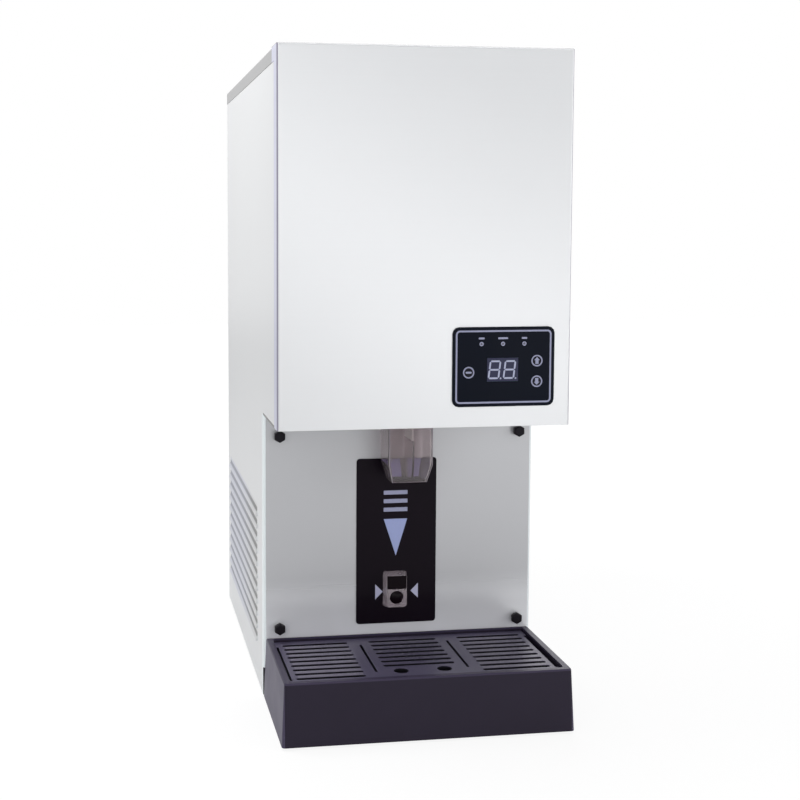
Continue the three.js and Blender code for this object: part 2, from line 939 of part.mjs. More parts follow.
function rearPanel() {
  const vents = [];
  for (let column = 0; column < ventColumns; column++) {
    const x0 = ventX - ventLength - ventGap / 2 + column * (ventLength + ventGap);
    for (let row = 0; row < ventRows; row++) {
      const z0 = ventBottom + row * ventPitch;
      vents.push(rect(x0, x0 + ventLength, z0, z0 + ventWidth));
    }
  }
  const inlets = [
    rect(
      powerX - powerWidth / 2 - seat,
      powerX + powerWidth / 2 + seat,
      powerBottom - seat,
      powerTop + seat,
    ),
    circle(tankX, inletZ, inletRadius + seat, smallSides),
    circle(drainX, drainZ, drainRadius + seat, smallSides),
  ];
  const sheetOutline = rect(-panelHalf, panelHalf, skirtClear, sideTop);
  return fromFront(sheetOutline, rearInner, headDepth, [...vents, ...inlets]);
}

// Head floor: the underside of the head, with the chute's opening

function headFloor() {
  const rear = recess + floorLap;
  const profile = [
    [-inside, floorBottom],
    [inside, floorBottom],
    [inside, floorBottom + floorFlange],
    [inside - sheet, floorBottom + floorFlange],
    [inside - sheet, floorTop],
    [-inside + sheet, floorTop],
    [-inside + sheet, floorBottom + floorFlange],
    [-inside, floorBottom + floorFlange],
  ];
  const passage = rect(
    -neckWidth / 2,
    neckWidth / 2,
    chuteY - neckDepth / 2,
    chuteY + neckDepth / 2,
  );
  const plan = rect(-inside, inside, sheet + seat, rear, bend - sheet);
  return cut(
    fromFront(outline(profile), 0, headDepth).intersect(fromAbove(plan, 0, height)),
    fromAbove(passage, floorBottom - overrun, floorTop + overrun),
  );
}

// Splash panel and its four knobs

const knobPlaces = [
  ['panel_knob_top_left', -knobX, knobTopZ],
  ['panel_knob_top_right', knobX, knobTopZ],
  ['panel_knob_bottom_left', -knobX, knobBottomZ],
  ['panel_knob_bottom_right', knobX, knobBottomZ],
];

function splashPanel() {
  const holes = knobPlaces.map(([, x, z]) => circle(x, z, knobStudRadius + seat, smallSides));
  const panel = rect(-panelHalf, panelHalf, panTop + seat, headUnderside);
  return fromFront(panel, recess, recess + sheet, holes);
}

function panelKnob(x, z) {
  const back = recess - seat;
  const headBack = back - knobCollar;
  const face = headBack - knobThick;
  const hexagonAt = (y, inset) =>
    hexagon(x, z, knobAcross - 2 * inset).map((point) => new THREE.Vector3(point.x, y, point.y));
  return join(
    loft([
      hexagonAt(face, knobChamfer),
      hexagonAt(face + knobChamfer, 0),
      hexagonAt(headBack - knobChamfer, 0),
      hexagonAt(headBack, knobChamfer),
    ]),
    rod([x, headBack - knobChamfer, z], [x, back, z], knobCollarRadius),
    rod([x, back - knobCollar, z], [x, recess + knobStudReach, z], knobStudRadius),
  );
}

// Label plate and sensor block

const labelFront = recess - seat - labelThick;

function labelPlate() {
  const plate = rect(
    labelX - labelWidth / 2,
    labelX + labelWidth / 2,
    trayTop + labelRise,
    headUnderside - labelTopDrop,
    labelCorner,
  );
  return fromFront(plate, labelFront, recess - seat);
}

function sensorBlock() {
  const back = labelFront - seat;
  const front = back - sensorDepth;
  const section = (inset, y) =>
    rect(
      sensorX - sensorWidth / 2 + inset,
      sensorX + sensorWidth / 2 - inset,
      sensorBottom + inset,
      sensorBottom + sensorHeight - inset,
      sensorCorner,
    ).map((point) => new THREE.Vector3(point.x, y, point.y));
  const eye = circle(sensorX, sensorBottom + sensorBoreRise, sensorBoreRadius);
  const window = rect(
    sensorX - sensorWindowWidth / 2,
    sensorX + sensorWindowWidth / 2,
    sensorBottom + sensorWindowRise - sensorWindowHeight / 2,
    sensorBottom + sensorWindowRise + sensorWindowHeight / 2,
  );
  return cut(
    loft([section(sensorTaper, front), section(0, back)]),
    fromFront(eye, front - overrun, front + sensorBoreDepth),
    fromFront(window, front - overrun, front + sensorWindowDepth),
  );
}

// Ice chute: a clear duct that narrows to its mouth, with a divider inside

function chuteSkin(inset, top, bottom) {
  const section = (sizeX, sizeY, z) =>
    ringAt(
      rect(
        -sizeX / 2 + inset,
        sizeX / 2 - inset,
        chuteY - sizeY / 2 + inset,
        chuteY + sizeY / 2 - inset,
        chuteCorner - inset,
      ),
      z,
    );
  return loft([
    section(chuteEndWidth, chuteEndDepth, bottom),
    section(chuteEndWidth, chuteEndDepth, chuteBottom),
    section(chuteWidth, chuteDepth, chuteStraightBottom),
    section(chuteWidth, chuteDepth, top),
  ]);
}

function iceChute() {
  const top = floorBottom - seat;
  const flange = rect(
    -chuteWidth / 2 - chuteFlange,
    chuteWidth / 2 + chuteFlange,
    chuteFrontY - chuteFlange,
    recess - seat - seat,
    chuteCorner,
  );
  const bore = chuteSkin(chuteWall, top + overrun, chuteBottom - overrun);
  const divider = block(
    dividerX - dividerThick / 2,
    dividerX + dividerThick / 2,
    chuteFrontY,
    chuteFrontY + chuteDepth,
    chuteBottom + dividerRise,
    dividerTop,
  );
  const outer = loftedOuter(top);
  return join(
    cut(join(outer, fromAbove(flange, top - chuteFlangeThick, top)), bore),
    divider.intersect(outer),
  );
}

function loftedOuter(top) {
  return chuteSkin(0, top, chuteBottom - overrun).intersect(
    block(-width, width, 0, headDepth, chuteBottom, height),
  );
}

// Drip tray: a flared skirt, a sunk ledge for the grille, and a basin that drains at its back

const trayRear = recess - seat;
const pocketHalf = panelHalf - trayRim;
const pocketFront = trayRim - trayLead;
const pocketRear = trayRear - trayRearRim;
const grilleTop = trayTop - grilleSink;
const grilleBottom = grilleTop - grilleThick;
const basinBottom = panTop + seat + trayWall;

function dripTray() {
  const skirt = (outset, z) =>
    ringAt(
      outline([
        [-panelHalf - outset, -trayLead - outset, trayCorner],
        [panelHalf + outset, -trayLead - outset, trayCorner],
        [panelHalf + outset, trayRear + Math.min(outset, 0), trayRearCorner],
        [-panelHalf - outset, trayRear + Math.min(outset, 0), trayRearCorner],
      ]),
      z,
    );
  const pocket = rect(-pocketHalf, pocketHalf, pocketFront, pocketRear, trayCorner);
  const basin = rect(
    -pocketHalf + trayLedge,
    pocketHalf - trayLedge,
    pocketFront + trayLedge,
    pocketRear - trayLedge,
    trayCorner,
  );
  const drain = circle(0, pocketRear - trayDrainInset, trayDrainRadius, smallSides);
  return cut(
    loft([
      skirt(trayFlare, skirtClear),
      skirt(0, trayTop - trayEdge),
      skirt(-trayEdge / 2, trayTop),
    ]),
    fromAbove(pocket, grilleBottom - seat, trayTop + overrun),
    fromAbove(basin, basinBottom, trayTop),
    fromAbove(drain, 0, trayTop),
    block(
      -panelHalf + trayWall,
      panelHalf - trayWall,
      trayWall - trayLead,
      trayRear + overrun,
      0,
      panTop + seat,
    ),
  );
}

// Drip grille

const grilleHalf = pocketHalf - grilleGap;
const grilleFront = pocketFront + grilleGap;
const grilleRear = pocketRear - grilleGap;
const longSlotX = grilleHalf * fieldShare;
const middleSlotHalf = longSlotX - longSlotWidth / 2 - middleLand;
const sideSlotInner = longSlotX + longSlotWidth / 2 + sideLand;
const sideSlotOuter = grilleHalf - slotSideInset;
const fingerX = middleSlotHalf * fingerShare;

function dripGrille() {
  const notchHalf = grilleHalf - grilleRelief;
  const edge = outline([
    [-grilleHalf, grilleFront, grilleCorner],
    [grilleHalf, grilleFront, grilleCorner],
    [grilleHalf, grilleFront + grilleReliefFront],
    [notchHalf, grilleFront + grilleReliefFront],
    [notchHalf, grilleRear - grilleReliefRear],
    [grilleHalf, grilleRear - grilleReliefRear],
    [grilleHalf, grilleRear, grilleCorner],
    [-grilleHalf, grilleRear, grilleCorner],
    [-grilleHalf, grilleRear - grilleReliefRear],
    [-notchHalf, grilleRear - grilleReliefRear],
    [-notchHalf, grilleFront + grilleReliefFront],
    [-grilleHalf, grilleFront + grilleReliefFront],
  ]);
  const firstRow = grilleRear - slotRearInset;
  const rowPitch = (firstRow - grilleFront - slotFrontInset) / (sideSlotRows - 1);
  const slot = (x0, x1, row) => {
    const y = firstRow - row * rowPitch;
    return rect(x0, x1, y - slotWidth / 2, y + slotWidth / 2, slotWidth / 2);
  };
  const holes = [];
  for (let row = 0; row < sideSlotRows; row++) {
    holes.push(slot(-sideSlotOuter, -sideSlotInner, row), slot(sideSlotInner, sideSlotOuter, row));
    if (row < middleSlotRows) holes.push(slot(-middleSlotHalf, middleSlotHalf, row));
  }
  const lastRow = firstRow - (middleSlotRows - 1) * rowPitch;
  const fingerY = lastRow - slotWidth / 2 - fingerGap - fingerRadius;
  for (const side of bothSides) {
    const x = side * longSlotX;
    holes.push(
      rect(
        x - longSlotWidth / 2,
        x + longSlotWidth / 2,
        grilleFront + longSlotFront,
        grilleRear - longSlotRear,
        longSlotWidth / 2,
      ),
      circle(side * fingerX, fingerY, fingerRadius, smallSides),
    );
  }
  return fromAbove(edge, grilleBottom, grilleTop, holes);
}

// Control panel: bezel with posts, display window, keys, lenses and the board behind

const boardFront = -seat + boardGap;
const keyPlaces = [
  ['key_left', bezelX + setKeyX, bezelZ + setKeyZ],
  ['key_up', bezelX + stepKeyX, bezelZ + stepKeyZ],
  ['key_down', bezelX + stepKeyX, bezelZ + stepKeyZ - stepKeyDrop],
];
const lensPlaces = [
  ['indicator_lens_left', bezelX + displayX - lensX],
  ['indicator_lens_middle', bezelX + displayX],
  ['indicator_lens_right', bezelX + displayX + lensX],
];
const displayOutline = (grow) =>
  rect(
    bezelX + displayX - displayWidth / 2 - grow,
    bezelX + displayX + displayWidth / 2 + grow,
    bezelZ + displayZ - displayHeight / 2 - grow,
    bezelZ + displayZ + displayHeight / 2 + grow,
  );

function controlBezel() {
  const face = rect(
    bezelX - bezelWidth / 2,
    bezelX + bezelWidth / 2,
    bezelZ - bezelHeight / 2,
    bezelZ + bezelHeight / 2,
    bezelCorner,
  );
  const holes = [
    displayOutline(seat),
    ...keyPlaces.map(([, x, z]) => circle(x, z, keyRadius + seat)),
    ...lensPlaces.map(([, x]) => circle(x, bezelZ + lensZ, lensRadius + seat, smallSides)),
  ];
  const posts = bothSides.flatMap((side) =>
    bothSides.map((rise) => {
      const x = bezelX + side * (bezelWidth / 2 - postInset);
      const z = bezelZ + rise * (bezelHeight / 2 - postInset);
      return rod([x, bezelFront + bezelThick / 2, z], [x, boardFront - seat, z], postRadius);
    }),
  );
  return join(fromFront(face, bezelFront, -seat, holes), posts);
}

function key(x, z) {
  const profile = [
    [0, 0],
    [keyRadius - keyRound, 0],
    [keyRadius, keyRound],
    [keyRadius, keyLength],
    [0, keyLength],
  ];
  return turned(profile, [x, bezelFront, z], Y);
}

function indicatorLens(x) {
  const z = bezelZ + lensZ;
  return rod([x, bezelFront, z], [x, bezelFront + lensLength, z], lensRadius);
}

function displayWindow() {
  return fromFront(displayOutline(0), bezelFront, bezelFront + displayThick);
}

function controlBoard() {
  const back = boardFront + boardThick;
  const board = rect(
    bezelX - bezelWidth / 2 + boardMargin,
    bezelX + bezelWidth / 2 - boardMargin,
    bezelZ - bezelHeight / 2 + boardMargin,
    bezelZ + bezelHeight / 2 - boardMargin,
  );
  const displayModule = fromFront(
    displayOutline(-moduleInset),
    bezelFront + displayThick + seat,
    back,
  );
  const keyStems = keyPlaces.map(([, x, z]) =>
    rod([x, bezelFront + keyLength + keyTravel + seat, z], [x, back, z], postRadius),
  );
  const lamps = lensPlaces.map(([, x]) =>
    rod(
      [x, bezelFront + lensLength + seat, bezelZ + lensZ],
      [x, back, bezelZ + lensZ],
      lensRadius,
      pipeSides,
    ),
  );
  const relays = Array.from({ length: relayCount }, (_, i) => {
    const x0 = bezelX + (i - (relayCount - 1) / 2) * relayPitch - relayWidth / 2;
    const z0 = bezelZ - relayDrop - relayHeight / 2;
    return block(x0, x0 + relayWidth, back - boardThick / 2, back + relayDepth, z0, z0 + relayHeight);
  });
  return join(fromFront(board, boardFront, back), displayModule, keyStems, lamps, relays);
}

// Bin cradle: a bridge between the side panels that carries the bin

const outletFront = chuteY - outletDepth / 2;
const outletRear = chuteY + outletDepth / 2;

function binCradle() {
  const profile = [
    [-inside, cradleTop],
    [-inside, cradleTop - cradleFlange],
    [-inside + sheet, cradleTop - cradleFlange],
    [-inside + sheet, cradleBottom],
    [inside - sheet, cradleBottom],
    [inside - sheet, cradleTop - cradleFlange],
    [inside, cradleTop - cradleFlange],
    [inside, cradleTop],
  ];
  const front = boardFront + boardThick + relayDepth + cradleFrontClear;
  const rear = unitY - jacketRadius - cradleRearClear;
  return cut(
    fromFront(outline(profile), front, rear),
    block(
      -outletWidth / 2,
      outletWidth / 2,
      outletFront,
      outletRear,
      cradleBottom - overrun,
      cradleTop + overrun,
    ),
    rod(
      [0, binY, cradleBottom - overrun],
      [0, binY, cradleTop + overrun],
      binShaftHole,
    ),
  );
}

function storageBin() {
  const innerRadius = binRadius - binWall;
  const profile = [
    [0, binBottom],
    [binRadius - binCorner, binBottom],
    [binRadius, binBottom + binCorner],
    [binRadius, binTop],
    [innerRadius, binTop],
    [innerRadius, binFloorTop + binCorner],
    [innerRadius - binCorner, binFloorTop],
    [0, binFloorTop],
  ];
  return cut(
    turned(profile, [0, binY, 0]),
    block(
      -outletWidth / 2,
      outletWidth / 2,
      outletFront,
      outletRear,
      binBottom - overrun,
      binFloorTop + overrun,
    ),
    rod([0, binY, binBottom - overrun], [0, binY, binFloorTop + overrun], binShaftHole),
  );
}

function binLid() {
  const plugRadius = binRadius - binWall - lidClear;
  const profile = [
    [0, lidBottom - lidPlug],
    [plugRadius, lidBottom - lidPlug],
    [plugRadius, lidBottom],
    [binRadius, lidBottom],
    [binRadius, lidBottom + lidThick],
    [0, lidBottom + lidThick],
  ];
  return cut(
    turned(profile, [0, binY, 0]),
    rod(
      [unitX, spoutDropY, lidBottom - lidPlug - overrun],
      [unitX, spoutDropY, lidBottom + lidThick + overrun],
      spoutRadius + lidClear,
      roundSides,
    ),
  );
}

// Agitator: a shaft with a sweeper over the bin's floor and arms one above the other

function agitator() {
  const arms = Array.from({ length: agitatorArmCount }, (_, i) => {
    const firstZ = binFloorTop + agitatorFirstArm;
    const z = firstZ + (i * (agitatorTop - firstZ - agitatorArmRadius * 2)) / (agitatorArmCount - 1);
    const angle = THREE.MathUtils.degToRad(i * agitatorArmTurn);
    const reachX = agitatorArmLength * Math.cos(angle);
    const reachY = agitatorArmLength * Math.sin(angle);
    return rod([-reachX, binY - reachY, z], [reachX, binY + reachY, z], agitatorArmRadius, pipeSides);
  });
  const sweeperZ = binFloorTop + sweeperRise;
  return join(
    rod([0, binY, hangTop - agitatorSocket + seat], [0, binY, agitatorTop], agitatorShaftRadius),
    block(
      -agitatorArmLength,
      agitatorArmLength,
      binY - sweeperThick / 2,
      binY + sweeperThick / 2,
      sweeperZ,
      sweeperZ + sweeperHeight,
    ),
    arms,
  );
}

function agitatorGearmotor() {
  const half = agitatorBoxWidth / 2;
  const bottom = hangTop - agitatorBoxHeight;
  const middle = (hangTop + bottom) / 2;
  const rear = binY + half;
  return cut(
    join(
      fromAbove(rect(-half, half, binY - half, rear, agitatorBoxCorner), bottom, hangTop),
      rod(
        [0, rear - overrun, middle],
        [0, rear + agitatorMotorLength, middle],
        agitatorMotorRadius,
        roundSides,
      ),
    ),
    rod(
      [0, binY, hangTop - agitatorSocket],
      [0, binY, hangTop + overrun],
      agitatorShaftRadius + seat,
    ),
  );
}

// Chute neck: the passage from the bin to the chute, with a tongue that hangs into the chute

function chuteNeck() {
  const halfX = neckWidth / 2;
  const halfY = neckDepth / 2;
  const outer = rect(
    -halfX - neckWall,
    halfX + neckWall,
    chuteY - halfY - neckWall,
    chuteY + halfY + neckWall,
    neckWall,
  );
  const passage = rect(-halfX, halfX, chuteY - halfY, chuteY + halfY);
  const tongueFront = dividerX - tongueThick / 2;
  const tongueTop = neckBottom + tongueRise;
  return cut(
    join(
      fromAbove(outer, neckBottom, hangTop, [passage]),
      block(
        tongueFront,
        tongueFront + tongueThick,
        chuteY - halfY - neckWall / 2,
        chuteY + halfY + neckWall / 2,
        neckBottom,
        tongueTop,
      ),
      block(
        tongueFront,
        tongueFront + tongueThick,
        chuteY - halfY + running,
        chuteY + halfY - running,
        dividerTop + seat,
        tongueTop,
      ),
    ),
    rod(
      [-width, flapPivotY, flapPivotZ],
      [width, flapPivotY, flapPivotZ],
      flapPinRadius + seat,
    ),
  );
}

// Ice flap: plate, hinge pin and the slotted lever that the plunger pulls, in one piece

function iceFlap() {
  const halfX = neckWidth / 2 - flapSideClear;
  const plateBottom = flapPivotZ + flapLift;
  const front = chuteY - neckDepth / 2 + flapFrontClear;
  const plate = block(-halfX, halfX, front, flapPivotY, plateBottom, plateBottom + flapThick);
  const knuckle = rod(
    [-halfX, flapPivotY, flapPivotZ],
    [halfX, flapPivotY, flapPivotZ],
    flapKnuckleRadius,
  );
  const pin = rod(
    [-neckWidth / 2 - neckWall, flapPivotY, flapPivotZ],
    [leverX + leverThick / 2, flapPivotY, flapPivotZ],
    flapPinRadius,
  );
  const along = new THREE.Vector2(-Math.sin(lean), -Math.cos(lean));
  const across = new THREE.Vector2(along.y, -along.x);
  const pivot = new THREE.Vector2(flapPivotY, flapPivotZ);
  const place = (reach, side, radius) => {
    const at = pivot.clone().addScaledVector(along, reach).addScaledVector(across, side);
    return [at.x, at.y, radius];
  };
  const strip = (from, to, stripWidth) => {
    const half = stripWidth / 2;
    const corners = [
      place(from, -half, half),
      place(to, -half, half),
      place(to, half, half),
      place(from, half, half),
    ];
    return outline(corners);
  };
  const lever = fromSide(
    strip(-leverWidth / 2, leverReach, leverWidth),
    leverX - leverThick / 2,
    leverX + leverThick / 2,
    [strip(leverSlotStart, leverSlotReach, leverSlotWidth)],
  );
  return join(plate, knuckle, pin, lever);
}

function solenoidPlunger() {
  const tongueEnd = plungerPinY + plungerTongue;
  const flat = block(
    plungerX - plungerRadius / 2,
    plungerX + plungerRadius / 2,
    plungerPinY - plungerRadius,
    tongueEnd + overrun,
    plungerZ - plungerRadius / 2,
    plungerZ + plungerRadius / 2,
  );
  return join(
    flat,
    rod([plungerX, tongueEnd, plungerZ], [plungerX, flapPivotY + plungerReach, plungerZ], plungerRadius),
    rod(
      [plungerX, plungerPinY, plungerZ],
      [leverX + leverThick, plungerPinY, plungerZ],
      plungerPinRadius,
      pipeSides,
    ),
  );
}

function flapSolenoid() {
  const front = solenoidFront;
  const half = solenoidWidth / 2;
  return cut(
    block(
      plungerX - half,
      plungerX + half,
      front,
      front + solenoidLength,
      hangTop - solenoidDepth,
      hangTop,
    ),
    rod(
      [plungerX, front - overrun, plungerZ],
      [plungerX, front + solenoidLength + overrun, plungerZ],
      plungerRadius + seat,
    ),
  );
}

// Middle deck: the shelf that parts the cool side from the compressor

const suctionX = unitX + jacketRadius + hoseRadius;
const suctionY = rearRoom - footRearInset;

function middleDeck() {
  const profile = [
    [-inside, deckTop],
    [-inside, deckTop - deckFlange],
    [-inside + sheet, deckTop - deckFlange],
    [-inside + sheet, deckBottom],
    [inside - sheet, deckBottom],
    [inside - sheet, deckTop - deckFlange],
    [inside, deckTop - deckFlange],
    [inside, deckTop],
  ];
  return cut(
    fromFront(outline(profile), insideFrontY + bend, rearRoom),
    rod(
      [suctionX, suctionY, deckBottom - overrun],
      [suctionX, suctionY, deckTop + overrun],
      pipeHoleRadius,
    ),
  );
}

// Freezing unit: gear motor, cylinder with its jacket, auger, extruder head and spout

function augerGearmotor() {
  const half = gearboxWidth / 2;
  const motorZ = gearboxBottom + unitMotorRadius + seat;
  const motorEnd = unitX + half + unitMotorLength;
  const motor = turned(
    [
      [0, 0],
      [unitMotorRadius, 0],
      [unitMotorRadius, unitMotorLength - unitMotorRound],
      [unitMotorRadius - unitMotorRound, unitMotorLength],
      [0, unitMotorLength],
    ],
    [motorEnd - unitMotorLength, unitY, motorZ],
    X,
  );
  return cut(
    join(
      fromAbove(
        rect(unitX - half, unitX + half, unitY - half, unitY + half, gearboxCorner),
        gearboxBottom,
        gearboxTop,
      ),
      motor,
    ),
    rod(
      [unitX, unitY, gearboxTop - augerSocket],
      [unitX, unitY, gearboxTop + overrun],
      augerShaftRadius + seat,
    ),
  );
}

function freezingCylinder() {
  const top = barrelTop;
  const jacketBottom = barrelBottom + barrelFlange + jacketInset;
  const jacketTop = top - barrelFlange - jacketInset;
  const profile = [
    [augerShaftRadius + seat, barrelBottom],
    [barrelFlangeRadius, barrelBottom],
    [barrelFlangeRadius, barrelBottom + barrelFlange],
    [barrelRadius, barrelBottom + barrelFlange],
    [barrelRadius, jacketBottom],
    [jacketRadius, jacketBottom],
    [jacketRadius, jacketTop],
    [barrelRadius, jacketTop],
    [barrelRadius, top - barrelFlange],
    [barrelFlangeRadius, top - barrelFlange],
    [barrelFlangeRadius, top],
    [barrelBore, top],
    [barrelBore, barrelBottom + barrelFlange],
    [augerShaftRadius + seat, barrelBottom + barrelFlange],
    [augerShaftRadius + seat, barrelBottom],
  ];
  const portZ = barrelBottom + waterPortRise;
  const portEnd = unitX + jacketRadius + waterPortReach;
  return cut(
    join(
      turned(profile, [unitX, unitY, 0]),
      rod([unitX + barrelRadius - overrun, unitY, portZ], [portEnd, unitY, portZ], waterPortRadius),
    ),
    rod([unitX + barrelBore - overrun, unitY, portZ], [portEnd + overrun, unitY, portZ], waterPortBore),
  );
}

function freezerAuger() {
  const flightBottom = barrelBottom + barrelFlange + augerRootThick;
  const rise = barrelTop - augerTopClear - flightBottom;
  const steps = augerTurns * augerStepsPerTurn;
  const tip = barrelBore - running;
  const root = augerCoreRadius - running;
  const rings = [];
  for (let i = 0; i <= steps; i++) {
    const angle = (i / augerStepsPerTurn) * 2 * Math.PI;
    const z = flightBottom + (i / steps) * rise;
    const place = (radius, lift) =>
      new THREE.Vector3(
        unitX + radius * Math.cos(angle),
        unitY + radius * Math.sin(angle),
        z + lift,
      );
    rings.push([
      place(root, -augerRootThick / 2),
      place(tip, -augerTipThick / 2),
      place(tip, augerTipThick / 2),
      place(root, augerRootThick / 2),
    ]);
  }
  const coreBottom = barrelBottom + barrelFlange + running;
  const coreTop = barrelTop - running;
  return join(
    rod(
      [unitX, unitY, gearboxTop - augerSocket + seat],
      [unitX, unitY, extruderTop - extruderFlange],
      augerShaftRadius,
    ),
    rod([unitX, unitY, coreBottom], [unitX, unitY, coreTop], augerCoreRadius, roundSides),
    loft(rings),
  );
}

function extruderHead() {
  const profile = [
    [augerShaftRadius + seat, extruderBottom],
    [barrelFlangeRadius, extruderBottom],
    [barrelFlangeRadius, extruderBottom + extruderFlange],
    [extruderRadius, extruderBottom + extruderFlange],
    [extruderRadius, extruderTop],
    [augerShaftRadius + seat, extruderTop],
    [augerShaftRadius + seat, extruderBottom],
  ];
  const passages = circle(unitX, unitY, extruderHolePcr, extruderHoles).map(({ x, y }) =>
    rod([x, y, extruderBottom - overrun], [x, y, extruderTop + overrun], extruderHoleRadius),
  );
  return cut(turned(profile, [unitX, unitY, 0]), passages);
}

function iceSpout() {
  const endZ = lidBottom + lidThick / 2;
  const path = (start, end) => {
    const route = new THREE.CurvePath();
    const at = (y, z) => new THREE.Vector3(unitX, y, z);
    const risen = at(unitY, spoutMidZ - spoutBend);
    const level = at(unitY - spoutBend, spoutMidZ);
    const reached = at(spoutDropY + spoutBend, spoutMidZ);
    const turnedDown = at(spoutDropY, spoutMidZ - spoutBend);
    route.add(new THREE.LineCurve3(at(unitY, start), risen));
    route.add(new THREE.QuadraticBezierCurve3(risen, at(unitY, spoutMidZ), level));
    route.add(new THREE.LineCurve3(level, reached));
    route.add(new THREE.QuadraticBezierCurve3(reached, at(spoutDropY, spoutMidZ), turnedDown));
    route.add(new THREE.LineCurve3(turnedDown, at(spoutDropY, end)));
    return route;
  };
  const swept = (start, end, radius) => {
    const shape = new THREE.Shape(circle(0, 0, radius, smallSides));
    return sealed(
      new THREE.ExtrudeGeometry(shape, { steps: spoutSteps, extrudePath: path(start, end) }),
    );
  };
  const flange = rod(
    [unitX, unitY, spoutBottom],
    [unitX, unitY, spoutBottom + spoutFlange],
    extruderRadius,
    roundSides,
  );
  return cut(
    join(swept(spoutBottom, endZ, spoutRadius), flange),
    swept(spoutBottom - overrun, endZ - overrun, spoutRadius - spoutWall),
  );
}

// Water reservoir with its float arm and the feed to the cylinder

function waterReservoir() {
  const front = tankRear - tankDepth;
  const outer = rect(
    tankX - tankWidth / 2,
    tankX + tankWidth / 2,
    front,
    tankRear,
    tankCorner,
  );
  const inner = rect(
    tankX - tankWidth / 2 + tankWall,
    tankX + tankWidth / 2 - tankWall,
    front + tankWall,
    tankRear - tankWall,
    tankCorner - tankWall,
  );
  return cut(
    join(
      fromAbove(outer, tankBottom, tankTop),
      rod(
        [nippleX, nippleY, tankBottom - nippleLength],
        [nippleX, nippleY, tankBottom + tankWall],
        nippleRadius,
      ),
    ),
    fromAbove(inner, tankBottom + tankWall, tankTop + overrun),
    rod(
      [nippleX, nippleY, tankBottom - nippleLength - overrun],
      [nippleX, nippleY, tankBottom + tankWall + overrun],
      nippleBore,
    ),
    rod(
      [tankX, tankRear - tankWall - overrun, inletZ],
      [tankX, tankRear + overrun, inletZ],
      inletRadius + seat,
    ),
  );
}

// Water inlet: threaded tail outside the back, float valve body inside the tank
function waterInlet() {
  const nutFace = headDepth + seat;
  const nut = fromFront(hexagon(tankX, inletZ, inletNutAcross), nutFace, nutFace + inletNut);
  const valve = block(
    tankX - valveRadius,
    tankX + valveRadius,
    floatPivotY - valveLap,
    tankRear - tankWall - seat,
    floatPivotZ - valveLap,
    inletZ + valveRadius,
  );
  return cut(
    join(
      nut,
      rod([tankX, tankRear - tankWall - overrun, inletZ], [tankX, rearmost, inletZ], inletRadius),
      valve,
    ),
    rod(
      [tankX - tankWidth, floatPivotY, floatPivotZ],
      [tankX + tankWidth, floatPivotY, floatPivotZ],
      floatPinRadius + seat,
    ),
    rod([tankX, headDepth, inletZ], [tankX, rearmost + overrun, inletZ], inletBore),
  );
}

function floatArm() {
  const end = floatPivotY - floatArmLength;
  const drop = floatRadius;
  const cheeks = bothSides.map((side) => {
    const x = tankX + side * (valveRadius + running + floatArmThick / 2);
    return block(
      x - floatArmThick / 2,
      x + floatArmThick / 2,
      end,
      floatPivotY + floatArmHeight / 2,
      floatPivotZ - floatArmHeight / 2,
      floatPivotZ + floatArmHeight / 2,
    );
  });
  const pinEnd = valveRadius + running + floatArmThick;
  const half = floatLength / 2;
  return join(
    cheeks,
    rod(
      [tankX - pinEnd, floatPivotY, floatPivotZ],
      [tankX + pinEnd, floatPivotY, floatPivotZ],
      floatPinRadius,
    ),
    rod(
      [tankX - half, end, floatPivotZ - drop],
      [tankX + half, end, floatPivotZ - drop],
      floatRadius + floatArmThick,
      roundSides,
    ),
  );
}

function feedHose() {
  const startZ = tankBottom - nippleLength - seat;
  const endX = unitX + jacketRadius + waterPortReach + seat;
  const endZ = barrelBottom + waterPortRise;
  const straight = hoseRadius * 2;
  return tube(
    [
      [nippleX, nippleY, startZ],
      [nippleX, nippleY, startZ - straight],
      [(nippleX + endX) / 2 + straight, (nippleY + unitY) / 2, (startZ + endZ) / 2],
      [endX + straight, unitY, endZ],
      [endX, unitY, endZ],
    ],
    hoseRadius,
    pipeSteps,
  );
}

// Compressor: welded dome on a plate with rubber grommets

function compressor() {
  const plateBottom = panFloor + grommetHeight;
  const plateTop = plateBottom + compressorPlateThick;
  const seamZ = plateTop + compressorSeamRise;
  const top = plateTop + compressorHeight;
  const dome = turned(
    [
      [0, plateTop - overrun / 2],
      [compressorRadius - compressorSeam * 2, plateTop - overrun / 2],
      [compressorRadius - compressorSeam, plateTop + compressorDome / 2],
      [compressorRadius - compressorSeam, seamZ - compressorSeam],
      [compressorRadius, seamZ - compressorSeam],
      [compressorRadius, seamZ],
      [compressorRadius - compressorSeam, seamZ],
      [compressorRadius - compressorSeam, top - compressorDome],
      [compressorRadius - compressorDome / 2, top - compressorDome / 4],
      [compressorRadius - compressorDome, top],
      [0, top],
    ],
    [compressorX, compressorY, 0],
  );
  const plate = rect(
    compressorX - compressorPlateLength / 2,
    compressorX + compressorPlateLength / 2,
    compressorY - compressorPlateWidth / 2,
    compressorY + compressorPlateWidth / 2,
    grommetRadius,
  );
  const grommets = bothSides.flatMap((side) =>
    bothSides.map((way) => {
      const x = compressorX + side * (compressorPlateLength / 2 - grommetInset);
      const y = compressorY + way * (compressorPlateWidth / 2 - grommetInset);
      return rod([x, y, panFloor + seat], [x, y, plateTop], grommetRadius);
    }),
  );
  const terminal = block(
    compressorX - terminalWidth / 2,
    compressorX + terminalWidth / 2,
    compressorY - compressorRadius - terminalDepth / 2,
    compressorY - compressorRadius + terminalDepth,
    seamZ - compressorSeam - terminalHeight - overrun,
    seamZ - compressorSeam - overrun,
  );
  return join(dome, fromAbove(plate, plateBottom, plateTop), grommets, terminal);
}

// Condenser: a block of fins between two end plates, behind the left louvres

